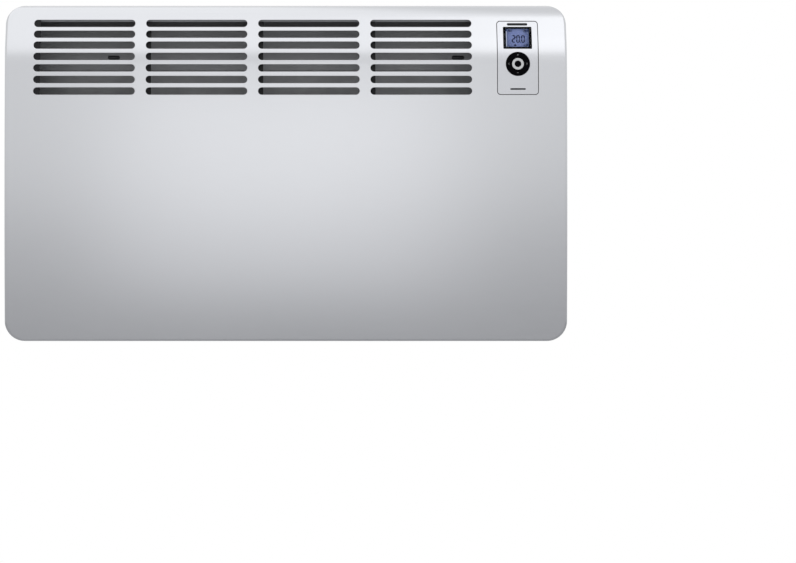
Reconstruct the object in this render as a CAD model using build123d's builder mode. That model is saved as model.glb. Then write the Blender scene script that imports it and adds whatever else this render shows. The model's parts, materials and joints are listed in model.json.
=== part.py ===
from build123d import *
import os
from math import asin, cos, degrees, radians, sin, tan

# Wall panel convector heater on its wall bracket, in millimetres.
# The wall is the plane y = 0, the front faces -Y and z = 0 is level with the middle of the wall screws.

os.makedirs("parts", exist_ok=True)

# ---- front cover ----
WIDTH = 784
HEIGHT = 470
DEPTH = 130
CORNER_R = 28
COVER_T = 1.2
RIM = 15
# Side profile: a shallow bow, a bend, a straight stretch and the roll over the top edge
BOW_R = 4000
BOW_DOWN = 270
BOW_TILT = 2.65
BEND_R = 150
BEND_TILT = 18
ROLL_R = 27
LIP = 15

# ---- clearances ----
SEAT = 0.3
RUN = 0.05
FREE = 0.5

# ---- edges that the places below are measured from ----
# _IN is from a side, _DOWN from the top, _UP from the bottom, _BACK from the foremost point
SIDE = WIDTH / 2
TOP = HEIGHT / 2
BOTTOM = -HEIGHT / 2
FRONT = -DEPTH

# ---- louvres ----
SLOT_ROWS = 7
SLOT_GROUPS = 4
SLOT_H = 10
SLOT_PITCH = 16.15
SLOT_LOW_DOWN = 121.7
SLOT_LOW_Z = TOP - SLOT_LOW_DOWN
GROUP_GAP = 15.4
GROUPS_LEFT_MARGIN = 40.2
GROUPS_RIGHT_MARGIN = 132.7
SLOT_W = (WIDTH - GROUPS_LEFT_MARGIN - GROUPS_RIGHT_MARGIN + GROUP_GAP) / SLOT_GROUPS - GROUP_GAP

# ---- cover screws and hooks ----
COVER_SCREW_IN = 36
COVER_SCREW_BACK = 7
COVER_SCREW_R = 1.6
COVER_SCREW_L = 9
COVER_HEAD_R = 3.4
SOCKET_R = 1
SOCKET_DEPTH = 0.7
COVER_HOOK_X = 250
COVER_HOOK_W = 30
COVER_HOOK_FOOT = 14
COVER_HOOK_H = 12

# ---- casing behind the cover ----
BACK_GAP = 27
BODY_INSET = 9
BODY_LOW_R = 21
BODY_TOP_R = 6
END_T = 2
END_DEPTH = 40
PANEL_T = 1
PANEL_RIM = 12
TOP_PANEL_GAP = 4
TOP_PANEL_LIP = 4
PARTITION_IN = 120
PARTITION_X = SIDE - PARTITION_IN
SHIELD_T = 0.8
SHIELD_FOLD = 10
FRONT_SHIELD_BACK = 18
FRONT_SHIELD_Y = FRONT + FRONT_SHIELD_BACK
FRONT_SHIELD_DOWN = 140
FRONT_SHIELD_TOP = TOP - FRONT_SHIELD_DOWN
REAR_SHIELD_GAP = 13
REAR_SHIELD_Y = -BACK_GAP - REAR_SHIELD_GAP
REAR_SHIELD_DOWN = 83
REAR_SHIELD_TOP = TOP - REAR_SHIELD_DOWN
SHIELD_LOW_UP = 20
SHIELD_LOW = BOTTOM + SHIELD_LOW_UP
INTAKE_MARGIN = 40
INTAKE_BAR = 8
INTAKE_H = 5
INTAKE_COLS = 9
INTAKE_ROWS = 6
INTAKE_PITCH_Y = 11

# ---- air deflector ----
DEFLECTOR_BACK = 28.9
DEFLECTOR_GAP = 0.4
DEFLECTOR_LAP = 9
ACCESS_W = 18
ACCESS_H = 6

# ---- control panel ----
BEZEL_IN = 68.8
BEZEL_X = SIDE - BEZEL_IN
BEZEL_DOWN = 75
BEZEL_Z = TOP - BEZEL_DOWN
BEZEL_W = 56.4
BEZEL_H = 102.4
BEZEL_R = 4
BEZEL_T = 3
BEZEL_GAP = 0.6
BEZEL_FLANGE = 3
DISPLAY_DOWN = 47
DISPLAY_Z = TOP - DISPLAY_DOWN
DISPLAY_TILT = 16.3
DISPLAY_W = 40
DISPLAY_H = 31.2
DISPLAY_R = 1.2
LENS_T = 1.5
MASK_T = 0.3
VIEW_W = 32
VIEW_H = 25.5
LCD_W = 35
LCD_H = 28
LCD_T = 1.2
LCD_DEPTH = 2.6
BACKLIGHT_T = 2
NAME_DOWN = 27.9
NAME_Z = TOP - NAME_DOWN
NAME_W = 28.6
NAME_H = 3.4
MODEL_DOWN = 118.8
MODEL_Z = TOP - MODEL_DOWN
MODEL_W = 21.5
MODEL_H = 2.1
INLAY_T = 0.5
HOUSING_INSET = 3.2
HOUSING_W = BEZEL_W - 2 * HOUSING_INSET
HOUSING_H = BEZEL_H - 2 * HOUSING_INSET
HOUSING_T = 2
HOUSING_LOW = BEZEL_Z - HOUSING_H / 2
HOUSING_TOP = BEZEL_Z + HOUSING_H / 2
HOUSING_BACK = 42
HOUSING_BACK_Y = FRONT + HOUSING_BACK
BOARD_T = 1.6
BOARD_DEPTH = 15
BOARD_LOW_GAP = 3.3
BOARD_TOP_GAP = 10.7

# ---- key ring and OK button ----
KEY_DOWN = 83.7
KEY_Z = TOP - KEY_DOWN
KEY_TILT = 5
KEY_D = 33
KEY_PROUD = 0.6
KEY_T = 2.4
KEY_LUG_T = 2.2
KEY_LUG_END = 0.8
BUTTON_D = 16.2
BUTTON_T = 2.6
BUTTON_PROUD = 0.4
BUTTON_TRAVEL = 0.8
INLAY_D = 9.2
STEM_R = 3
GUIDE_WALL = 2
GUIDE_GAP = 2
CARRIER_IN_R = 9
CARRIER_OUT_R = 12.5
CARRIER_T = 3
PIVOT_DEPTH = 4.6
PIVOT_R = 0.9
PIVOT_ROOT = 1
PIVOT_SHORT = 1
POST_TOP = 3
POST_W = 5
POST_T = 2.4
SHELF_DEPTH = 8
SHELF_T = 2
SHELF_MARGIN = 1
PLUNGER_R = 1
PLUNGER_RING_R = 14.5
PLUNGER_TOP = 2.85
SWITCH_W = 4.5
SWITCH_T = 4

# ---- wall bracket ----
SCREW_X = 246
SCREW_DOWN = 105
SCREW_Z = TOP - SCREW_DOWN
SCREW_HOLE_R = 3.5
UPRIGHT_W = 40
UPRIGHT_T = 2
UPRIGHT_END = 55
UPRIGHT_TOP = TOP - UPRIGHT_END
UPRIGHT_LOW = BOTTOM + UPRIGHT_END
RAIL_H = 30
RAIL_FOLD = 12
TOP_RAIL_DOWN = 125
LOW_RAIL_UP = 115
HOOK_W = 20
HOOK_UP = 61
HOOK_TOP = BOTTOM + HOOK_UP
HOOK_REACH = 34
HOOK_LIP = 8
HOOK_LIFT = 12
WINDOW_SIDE = 2

# ---- wall catches ----
CATCH_DOWN = 71
CATCH_Z = TOP - CATCH_DOWN
CATCH_PIN_Y = -8
CATCH_PIN_R = 2
CATCH_EYE_R = 4.5
CATCH_W = 18
CATCH_T = 2
CATCH_TIP_GAP = 1
CATCH_TIP_Y = REAR_SHIELD_Y + CATCH_TIP_GAP
CATCH_NOSE_GAP = 3
CATCH_NOSE_Y = -BACK_GAP - PANEL_T - CATCH_NOSE_GAP
CATCH_NOSE_T = 1.7
CATCH_NOSE_H = 7
CATCH_WINDOW_UP = 4
CATCH_WINDOW_DOWN = 9
PIN_END = 1
SPRING_WIRE = 0.9
SPRING_R = 3.4
SPRING_TURNS = 5
SPRING_PITCH = 1.5

# ---- heating element ----
TUBE_R = 4.25
TUBE_UP = 70
TUBE_Z = BOTTOM + TUBE_UP
TUBE_SPREAD = 28
DUCT_MIDDLE_Y = (FRONT_SHIELD_Y + REAR_SHIELD_Y) / 2
TUBE_REAR_Y = DUCT_MIDDLE_Y + TUBE_SPREAD / 2
TUBE_FRONT_Y = DUCT_MIDDLE_Y - TUBE_SPREAD / 2
TUBE_IN = 42
TUBE_LEFT_X = -SIDE + TUBE_IN
TUBE_TAIL = 16
HOLDER_T = 1
HOLDER_TALL = 70
HOLDER_FOOT = 12
HOLDER_IN = 50
HOLDER_LEFT_X = -SIDE + HOLDER_IN
HOLDER_GAP = 16
HOLDER_RIGHT_X = PARTITION_X - HOLDER_GAP
FIN_T = 0.5
FIN_PITCH = 10
FIN_GAP = 15
FIN_FIRST_X = HOLDER_LEFT_X + FIN_GAP
FIN_COUNT = int((HOLDER_RIGHT_X - FIN_FIRST_X) // FIN_PITCH)
FIN_SIDE = 5
FIN_DEEP = REAR_SHIELD_Y - FRONT_SHIELD_Y - 2 * FIN_SIDE
FIN_TALL = 46
FIN_CORNER = 3
BUSH_R = 7
BUSH_T = 6
BUSH_LIP = 1.5
BEAD_R = 3
BEAD_L = 12
TAB_W = 6.3
TAB_T = 0.8
TAB_L = 8
CUTOUT_X = -60
CUTOUT_ABOVE = 55
CUTOUT_R = 8
CUTOUT_D = 8
CUTOUT_FOOT_W = 30
CUTOUT_FOOT_H = 14
CUTOUT_FOOT_T = 1
CUTOUT_TAB_X = 5

# ---- electrics on the rear panel ----
POWER_IN = 64
POWER_X = SIDE - POWER_IN
POWER_Z = -10
POWER_W = 84
POWER_H = 150
POWER_STANDOFF = 14
POWER_Y = -BACK_GAP - PANEL_T - POWER_STANDOFF
POWER_HOLE_X = 36
POWER_HOLE_Z = 68
POST_R = 4
POST_HOLE = 8
SCREW_R = 1.5
SCREW_L = 7
SCREW_HEAD_R = 3
SCREW_HEAD_T = 2
# Parts on the power board: width, height, depth, then the place from the board's middle
RELAY = (20, 28, 16, -18, 30)
RELAY_R = 1
CAPACITOR = (12, 26, 18, 20, 34)
CAPACITOR_R = 1.5
TRANSFORMER = (32, 28, 24, 14, -8)
TRANSFORMER_CHAMFER = 2
SINK = (24, 20, 25, -24, -34)
SINK_BACK = 3
SINK_FINS = 7
SINK_PITCH = 3.5
SINK_FIN_T = 1.4
TERMINAL_IN = 74
TERMINAL_X = SIDE - TERMINAL_IN
TERMINAL_UP = 85
TERMINAL_Z = BOTTOM + TERMINAL_UP
TERMINAL_W = 52
TERMINAL_H = 22
TERMINAL_D = 20
TERMINAL_WAYS = 5
TERMINAL_PITCH = 10
TERMINAL_HOLE_R = 2.6
TERMINAL_HOLE_D = 8
TERMINAL_SCREW_R = 2.4
TERMINAL_SCREW_T = 3
LEAD_R = 1.5
LEAD_BEND = 9
LEAD_IN = 57
LEAD_X = SIDE - LEAD_IN
LEAD_STEP = 12
LEAD_DROP = 68
LEAD_Z = POWER_Z - LEAD_DROP
RIBBON_W = 16
RIBBON_T = 1
RIBBON_BEND = 6
RIBBON_BACK = 31
RIBBON_Y = FRONT + RIBBON_BACK
RIBBON_RISE = 6.5
RIBBON_TOP = HOUSING_LOW + HOUSING_T + RIBBON_RISE
RIBBON_END = 60
RIBBON_LOW = POWER_Z + RIBBON_END

# ---- mains switch on the right end ----
SWITCH_BACK = 52
SWITCH_Y = FRONT + SWITCH_BACK
SWITCH_UP = 63
SWITCH_Z = BOTTOM + SWITCH_UP
SWITCH_BODY_W = 13
SWITCH_BODY_H = 19.2
SWITCH_BODY_D = 16
SWITCH_FLANGE = 1.4
SWITCH_FLANGE_T = 1.5
SWITCH_FLANGE_R = 1
SWITCH_WALL = 1
SWITCH_WELL = 8
SWITCH_TAB_PITCH = 7
ROCKER_H = 15.2
ROCKER_TILT = 10
ROCKER_PIVOT_R = 1
ROCKER_PIVOT_IN = 1.2
ROCKER_RISE = 2.2
ROCKER_KEEL = 3
ROCKER_SHOULDER = 1.5

# ---- cable gland, sensor and buffers ----
GLAND_IN = 76
GLAND_X = SIDE - GLAND_IN
GLAND_GAP = 31
GLAND_Y = -BACK_GAP - GLAND_GAP
GLAND_BORE_R = 4
GLAND_R = 8
GLAND_FLANGE_R = 11
GLAND_FLANGE_T = 2
GLAND_UP = 12
SENSOR_IN = 92
SENSOR_X = SIDE - SENSOR_IN
SENSOR_BACK = 20
SENSOR_Y = FRONT + SENSOR_BACK
SENSOR_R = 2.5
SENSOR_L = 22
SENSOR_SLOTS_BEHIND = 20
SENSOR_SLOT_W = 30
SENSOR_SLOT_BAR = 3
CLIP_L = 8
CLIP_WALL = 2
CLIP_RISE = 3
BUFFER_R = 8
BUFFER_IN = 62
BUFFER_X = SIDE - BUFFER_IN
BUFFER_UP = 30
BUFFER_Z = BOTTOM + BUFFER_UP


def save(builder, label):
    """Labels a finished piece and writes it as its own node."""
    builder.part.label = label
    export_step(builder.part, f"parts/{label}.step")


# ---- the front's side profile, as (y, z) points ----
def on_arc(centre, radius, tilt):
    """Point on a front-facing arc where the sheet leans back by tilt degrees."""
    return (centre[0] - radius * cos(radians(tilt)), centre[1] + radius * sin(radians(tilt)))


BOW_Z = TOP - BOW_DOWN
BOW_C = (BOW_R - DEPTH, BOW_Z)
BOW_END = on_arc(BOW_C, BOW_R, BOW_TILT)
BEND_C = (BOW_END[0] + BEND_R * cos(radians(BOW_TILT)), BOW_END[1] - BEND_R * sin(radians(BOW_TILT)))
BEND_END = on_arc(BEND_C, BEND_R, BEND_TILT)
ROLL_Z = TOP - ROLL_R
ROLL_START_Z = ROLL_Z + ROLL_R * sin(radians(BEND_TILT))
ROLL_START_Y = BEND_END[0] + (ROLL_START_Z - BEND_END[1]) * tan(radians(BEND_TILT))
ROLL_C = (ROLL_START_Y + ROLL_R * cos(radians(BEND_TILT)), ROLL_Z)
LIP_BACK_Y = ROLL_C[0] + LIP


def tilt_at(z):
    """Lean of the front, in degrees, at a height below the roll."""
    if z <= BOW_END[1]:
        return degrees(asin((z - BOW_Z) / BOW_R))
    if z <= BEND_END[1]:
        return degrees(asin((z - BEND_C[1]) / BEND_R))
    return BEND_TILT


def front_y(z):
    """Place of the front's skin at a height below the roll."""
    if z <= BOW_END[1]:
        return on_arc(BOW_C, BOW_R, tilt_at(z))[0]
    if z <= BEND_END[1]:
        return on_arc(BEND_C, BEND_R, tilt_at(z))[0]
    return BEND_END[0] + (z - BEND_END[1]) * tan(radians(BEND_TILT))


def height_along(length):
    """Height reached by going up the sheet by a length from the lowest slot row."""
    start = tilt_at(SLOT_LOW_Z)
    bow_left = BOW_R * radians(BOW_TILT - start)
    bend_left = BEND_R * radians(BEND_TILT - BOW_TILT)
    if length <= bow_left:
        return on_arc(BOW_C, BOW_R, start + degrees(length / BOW_R))[1]
    if length <= bow_left + bend_left:
        return on_arc(BEND_C, BEND_R, BOW_TILT + degrees((length - bow_left) / BEND_R))[1]
    return BEND_END[1] + (length - bow_left - bend_left) * cos(radians(BEND_TILT))


def front_profile(inset, low, back):
    """Edges round the space behind the front, at a depth below its skin."""
    start = degrees(asin((low - BOW_Z) / (BOW_R - inset)))
    stretches = (
        (BOW_C, BOW_R - inset, start, BOW_TILT),
        (BEND_C, BEND_R - inset, BOW_TILT, BEND_TILT),
        (ROLL_C, ROLL_R - inset, BEND_TILT, 90),
    )
    with BuildLine() as line:
        for centre, radius, first, last in stretches:
            middle = (first + last) / 2
            ThreePointArc(*(on_arc(centre, radius, tilt) for tilt in (first, middle, last)))
        Line(on_arc(BEND_C, BEND_R - inset, BEND_TILT), on_arc(ROLL_C, ROLL_R - inset, BEND_TILT))
        top = on_arc(ROLL_C, ROLL_R - inset, 90)
        Polyline(top, (back, top[1]), (back, low), on_arc(BOW_C, BOW_R - inset, start))
    return line.edges()


def side_face(inset, low, top, back):
    """Side view of the space behind the front, between two heights and back to a plane."""
    with BuildSketch() as face:
        make_face(front_profile(inset, low, max(back, LIP_BACK_Y)))
        with Locations((back, low)):
            Rectangle(2 * DEPTH, top - low, align=(Align.MAX, Align.MIN), mode=Mode.INTERSECT)
    return face.sketch


def front_layer(outline, near, far):
    """Solid between two depths below the front's skin, with an outline given in the front view."""
    with BuildPart() as layer:
        with BuildSketch(Plane.YZ.offset(-SIDE)):
            make_face(front_profile(near, BOTTOM, LIP_BACK_Y))
            make_face(front_profile(far, BOTTOM - RIM, LIP_BACK_Y + RIM), mode=Mode.SUBTRACT)
        extrude(amount=WIDTH)
        with BuildSketch(Plane.XZ):
            add(outline)
        extrude(amount=DEPTH + RIM, mode=Mode.INTERSECT)
    return layer.part


def face_plane(x, z, tilt):
    """Plane on the front's skin that leans back by tilt degrees, with local +Y up."""
    normal = (0, -cos(radians(tilt)), sin(radians(tilt)))
    return Plane(origin=(x, front_y(z), z), x_dir=(1, 0, 0), z_dir=normal)


KEY_PLANE = face_plane(BEZEL_X, KEY_Z, KEY_TILT)
DISPLAY_PLANE = face_plane(BEZEL_X, DISPLAY_Z, DISPLAY_TILT)
BOARD_PLANE = KEY_PLANE.offset(-BOARD_DEPTH)

# ---- places that follow from the sizes above ----
BODY_HALF = SIDE - BODY_INSET
BODY_TOP = TOP - RIM - SEAT
BODY_LOW = BOTTOM + COVER_T + SEAT
BODY_SKIN = COVER_T + SEAT
PANEL_INSET = END_T + SEAT
PANEL_TOP = BODY_TOP - PANEL_INSET
PANEL_LOW = BODY_LOW + PANEL_INSET
REAR_IN_Y = -BACK_GAP - PANEL_T
TOP_PANEL_Z = PANEL_TOP - PANEL_T
GRILLE_Z = PANEL_LOW + PANEL_T
INNER_HALF = BODY_HALF - END_T - SEAT
DUCT_LEFT = -INNER_HALF
DUCT_RIGHT = PARTITION_X - SEAT
INTAKE_PITCH_X = (DUCT_RIGHT - DUCT_LEFT - INTAKE_MARGIN) / INTAKE_COLS
REAR_SHIELD_FRONT = REAR_SHIELD_Y - SHIELD_T
DEFLECTOR_R = REAR_SHIELD_FRONT - SEAT - FRONT - DEFLECTOR_BACK
DEFLECTOR_Z = TOP_PANEL_Z - PANEL_T - DEFLECTOR_GAP - DEFLECTOR_R
DEFLECTOR_LOW = DEFLECTOR_Z - DEFLECTOR_LAP
COVER_SCREW_X = SIDE - COVER_SCREW_IN
COVER_SCREW_Y = front_y(BOTTOM) + COVER_SCREW_BACK
BOARD_UP = HOUSING_TOP - HOUSING_T - BOARD_TOP_GAP - KEY_Z
BOARD_DOWN = KEY_Z - HOUSING_LOW - HOUSING_T - BOARD_LOW_GAP
TAIL_X = PARTITION_X + PANEL_T + TUBE_TAIL


# ---- front cover ----
def cover_block(inset, back):
    """Cover filled solid, drawn a distance inside its outer faces."""
    with BuildPart() as block:
        with BuildSketch(Plane.YZ.offset(-WIDTH)):
            make_face(front_profile(inset, BOTTOM - RIM, back))
        extrude(amount=2 * WIDTH)
        with BuildSketch(Plane.XZ):
            RectangleRounded(WIDTH - 2 * inset, HEIGHT - 2 * inset, CORNER_R - inset)
        extrude(amount=DEPTH + RIM, mode=Mode.INTERSECT)
    return block.part


def front_cover():
    outer = cover_block(0, LIP_BACK_Y)
    inner = cover_block(COVER_T, LIP_BACK_Y - COVER_T)
    first_x = -SIDE + GROUPS_LEFT_MARGIN + SLOT_W / 2
    slots = [
        (first_x + group * (SLOT_W + GROUP_GAP), height_along(row * SLOT_PITCH))
        for group in range(SLOT_GROUPS)
        for row in range(SLOT_ROWS)
    ]
    with BuildPart() as cover:
        add(outer)
        add(inner, mode=Mode.SUBTRACT)
        with BuildSketch(Plane.YZ.offset(-WIDTH)):
            make_face(front_profile(RIM, BOTTOM - RIM, LIP_BACK_Y + RIM))
        extrude(amount=2 * WIDTH, mode=Mode.SUBTRACT)
        with BuildSketch(Plane.XZ.offset(-LIP_BACK_Y + COVER_T + SEAT)):
            with Locations(*slots):
                SlotOverall(SLOT_W, SLOT_H)
            add(bezel_outline(BEZEL_GAP))
        extrude(amount=DEPTH, mode=Mode.SUBTRACT)
        with Locations((-COVER_SCREW_X, COVER_SCREW_Y, BOTTOM), (COVER_SCREW_X, COVER_SCREW_Y, BOTTOM)):
            Cone(
                COVER_HEAD_R + RUN,
                COVER_HEAD_R + RUN - COVER_T,
                COVER_T,
                align=(Align.CENTER, Align.CENTER, Align.MIN),
                mode=Mode.SUBTRACT,
            )
    save(cover, "front_cover")


def cover_screws():
    with BuildPart() as screws:
        with Locations((-COVER_SCREW_X, COVER_SCREW_Y, BOTTOM), (COVER_SCREW_X, COVER_SCREW_Y, BOTTOM)):
            Cone(
                COVER_HEAD_R,
                COVER_HEAD_R - COVER_T,
                COVER_T,
                align=(Align.CENTER, Align.CENTER, Align.MIN),
            )
            Cylinder(COVER_SCREW_R, COVER_SCREW_L, align=(Align.CENTER, Align.CENTER, Align.MIN))
            Cylinder(
                SOCKET_R,
                SOCKET_DEPTH,
                align=(Align.CENTER, Align.CENTER, Align.MIN),
                mode=Mode.SUBTRACT,
            )
    save(screws, "cover_screws")


# ---- casing ----
def body_outline(inset):
    """Front view of the casing, drawn a distance inside its outer faces."""
    with BuildSketch() as outline:
        with Locations((0, (BODY_TOP + BODY_LOW) / 2)):
            Rectangle(2 * (BODY_HALF - inset), BODY_TOP - BODY_LOW - 2 * inset)
        fillet(outline.vertices().group_by(Axis.Y)[0], BODY_LOW_R - inset)
        fillet(outline.vertices().group_by(Axis.Y)[-1], BODY_TOP_R - inset)
    return outline.sketch


def end_block(inset, start, back):
    """One end of the casing filled solid, from start along +X, open to the back plane."""
    with BuildPart() as block:
        with BuildSketch(Plane.YZ.offset(start)):
            add(side_face(BODY_SKIN + inset, BODY_LOW, BODY_TOP, back))
        extrude(amount=BODY_HALF)
        with BuildSketch(Plane.XZ):
            add(body_outline(inset))
        extrude(amount=DEPTH, mode=Mode.INTERSECT)
    return block.part


def end_cap(label, opening, keep_clear, side):
    outer = end_block(0, BODY_HALF - END_DEPTH, -BACK_GAP)
    inner = end_block(END_T, BODY_HALF - END_DEPTH - FREE, FREE)
    with BuildPart() as cap:
        add(outer)
        add(inner, mode=Mode.SUBTRACT)
        with Locations((COVER_SCREW_X, COVER_SCREW_Y, BODY_LOW + END_T / 2)):
            Cylinder(COVER_SCREW_R + RUN, 2 * END_T, mode=Mode.SUBTRACT)
        if side < 0:
            mirror(about=Plane.YZ, mode=Mode.REPLACE)
        if opening:
            with BuildSketch(Plane.YZ.offset(BODY_HALF + FREE)):
                with Locations((SWITCH_Y, SWITCH_Z)):
                    Rectangle(SWITCH_BODY_W + SEAT, SWITCH_BODY_H + SEAT)
            extrude(amount=-END_T - 2 * FREE, mode=Mode.SUBTRACT)
        if keep_clear:
            with BuildSketch(Plane.XZ):
                with Locations((BEZEL_X, BEZEL_Z - BEZEL_H / 2 - BEZEL_FLANGE - FREE)):
                    Rectangle(
                        BEZEL_W + 2 * BEZEL_FLANGE + 2 * FREE,
                        HEIGHT / 2,
                        align=(Align.CENTER, Align.MIN),
                    )
            extrude(amount=2 * DEPTH, mode=Mode.SUBTRACT)
    save(cap, label)


def rear_panel():
    windows = [(x, CATCH_Z + (CATCH_WINDOW_UP - CATCH_WINDOW_DOWN) / 2) for x in (-SCREW_X, SCREW_X)]
    hook_slots = [(x, HOOK_TOP + SEAT) for x in (-SCREW_X, SCREW_X)]
    with BuildPart() as panel:
        with BuildSketch(Plane.XZ.offset(BACK_GAP)):
            add(body_outline(PANEL_INSET))
        extrude(amount=PANEL_RIM)
        with BuildSketch(Plane.XZ.offset(BACK_GAP + PANEL_T)):
            add(body_outline(PANEL_INSET + PANEL_T))
        extrude(amount=PANEL_RIM, mode=Mode.SUBTRACT)
        with BuildSketch(Plane.XZ.offset(BACK_GAP - FREE)):
            with Locations(*windows):
                Rectangle(CATCH_W + 2 * WINDOW_SIDE, CATCH_WINDOW_UP + CATCH_WINDOW_DOWN)
            with Locations(*hook_slots):
                Rectangle(
                    HOOK_W + 2 * WINDOW_SIDE, UPRIGHT_T + HOOK_LIFT, align=(Align.CENTER, Align.MAX)
                )
        extrude(amount=PANEL_T + 2 * FREE, mode=Mode.SUBTRACT)
    save(panel, "rear_panel")


def top_panel():
    half = INNER_HALF - BODY_TOP_R
    back = REAR_IN_Y - SEAT
    front = front_y(TOP_PANEL_Z) + BODY_SKIN + END_T + TOP_PANEL_GAP
    with BuildPart() as panel:
        with BuildSketch(Plane.XY.offset(TOP_PANEL_Z - PANEL_T)):
            with Locations((0, back)):
                Rectangle(2 * half, back - front, align=(Align.CENTER, Align.MAX))
        extrude(amount=PANEL_T)
        with BuildSketch(Plane.XZ.offset(-front)):
            with Locations((0, TOP_PANEL_Z - PANEL_T)):
                Rectangle(2 * half, TOP_PANEL_LIP, align=(Align.CENTER, Align.MAX))
        extrude(amount=-PANEL_T)
    save(panel, "top_panel")


def bottom_grille():
    half = INNER_HALF - PANEL_T - SEAT - BODY_LOW_R
    back = REAR_IN_Y - SEAT
    front = FRONT_SHIELD_Y + SEAT
    with BuildPart() as grille:
        with BuildSketch(Plane.XY.offset(GRILLE_Z)):
            with Locations((0, back)):
                Rectangle(2 * half, back - front, align=(Align.CENTER, Align.MAX))
            with Locations(((DUCT_LEFT + DUCT_RIGHT) / 2, (back + front) / 2)):
                with GridLocations(INTAKE_PITCH_X, INTAKE_PITCH_Y, INTAKE_COLS, INTAKE_ROWS):
                    SlotOverall(INTAKE_PITCH_X - INTAKE_BAR, INTAKE_H, mode=Mode.SUBTRACT)
            with Locations((GLAND_X, GLAND_Y)):
                Circle(GLAND_R + SEAT, mode=Mode.SUBTRACT)
            with Locations((SENSOR_X, SENSOR_Y + SENSOR_SLOTS_BEHIND)):
                with GridLocations(0, INTAKE_H + SENSOR_SLOT_BAR, 1, 3):
                    SlotOverall(SENSOR_SLOT_W, INTAKE_H, mode=Mode.SUBTRACT)
        extrude(amount=PANEL_T)
    save(grille, "bottom_grille")


def partition_plate():
    top = TOP_PANEL_Z - PANEL_T - TOP_PANEL_LIP
    with BuildPart() as plate:
        with BuildSketch(Plane.YZ.offset(PARTITION_X)):
            add(side_face(BODY_SKIN + FREE, GRILLE_Z + PANEL_T, top, REAR_IN_Y - SEAT))
            with Locations((TUBE_REAR_Y, TUBE_Z), (TUBE_FRONT_Y, TUBE_Z)):
                Circle(BUSH_R - BUSH_LIP, mode=Mode.SUBTRACT)
        extrude(amount=PANEL_T)
    save(plate, "partition_plate")


def heat_shield(label, face_y, fold, fold_top, top):
    """Flat sheet across the air duct, its ends folded towards the middle of the duct."""
    low = SHIELD_LOW
    with BuildPart() as shield:
        with BuildSketch(Plane.XZ.offset(-face_y)):
            with Locations(((DUCT_LEFT + DUCT_RIGHT) / 2, (low + top) / 2)):
                Rectangle(DUCT_RIGHT - DUCT_LEFT, top - low)
        extrude(amount=SHIELD_T if fold > 0 else -SHIELD_T)
        with BuildSketch(Plane.XZ.offset(-face_y)):
            for x, side in ((DUCT_LEFT, Align.MIN), (DUCT_RIGHT, Align.MAX)):
                with Locations((x, (low + fold_top) / 2)):
                    Rectangle(SHIELD_T, fold_top - low, align=(side, Align.CENTER))
        extrude(amount=fold)
    save(shield, label)


def air_deflector():
    """Curved sheet that turns the rising air forward through the louvres."""
    centre = (REAR_SHIELD_FRONT - SEAT - DEFLECTOR_R, DEFLECTOR_Z)
    with BuildPart() as deflector:
        for start, length, fold in (
            (DUCT_LEFT, DUCT_RIGHT - DUCT_LEFT, 0),
            (DUCT_LEFT, SHIELD_T, SHIELD_FOLD),
            (DUCT_RIGHT - SHIELD_T, SHIELD_T, SHIELD_FOLD),
        ):
            with BuildSketch(Plane.YZ.offset(start)):
                with Locations(centre):
                    Circle(DEFLECTOR_R)
                    Circle(DEFLECTOR_R - SHIELD_T - fold, mode=Mode.SUBTRACT)
                    for wide, tall, align in (
                        (2 * DEFLECTOR_R, DEFLECTOR_R, (Align.CENTER, Align.MAX)),
                        (DEFLECTOR_R, 2 * DEFLECTOR_R, (Align.MAX, Align.CENTER)),
                    ):
                        Rectangle(wide, tall, align=align, mode=Mode.SUBTRACT)
                with Locations((centre[0] + DEFLECTOR_R, centre[1])):
                    Rectangle(SHIELD_T + fold, DEFLECTOR_LAP, align=(Align.MAX, Align.MAX))
            extrude(amount=length)
        with BuildSketch(Plane.XZ):
            with Locations((-SCREW_X, CATCH_Z), (SCREW_X, CATCH_Z)):
                SlotOverall(ACCESS_W, ACCESS_H)
        extrude(amount=-centre[0], mode=Mode.SUBTRACT)
    save(deflector, "air_deflector")


def cover_hooks():
    """Angles on the top panel that the cover's rear lip drops behind."""
    front = LIP_BACK_Y - COVER_T - SEAT
    with BuildPart() as hooks:
        with Locations(*[(x, front, TOP_PANEL_Z) for x in (-COVER_HOOK_X, 0, COVER_HOOK_X)]):
            Box(COVER_HOOK_W, COVER_HOOK_FOOT, PANEL_T, align=(Align.CENTER, Align.MAX, Align.MIN))
            Box(COVER_HOOK_W, PANEL_T, COVER_HOOK_H, align=(Align.CENTER, Align.MAX, Align.MIN))
    save(hooks, "cover_hooks")


# ---- control panel ----
def bezel_outline(grow):
    with BuildSketch() as outline:
        with Locations((BEZEL_X, BEZEL_Z)):
            RectangleRounded(BEZEL_W + 2 * grow, BEZEL_H + 2 * grow, BEZEL_R + grow)
    return outline.sketch


def display_outline(grow):
    with BuildSketch() as outline:
        with Locations((BEZEL_X, DISPLAY_Z)):
            RectangleRounded(DISPLAY_W + 2 * grow, DISPLAY_H + 2 * grow, DISPLAY_R + grow)
    return outline.sketch


def inlay_outline(z, width, height, grow):
    with BuildSketch() as outline:
        with Locations((BEZEL_X, z)):
            SlotOverall(width + 2 * grow, height + 2 * grow)
    return outline.sketch


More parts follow.
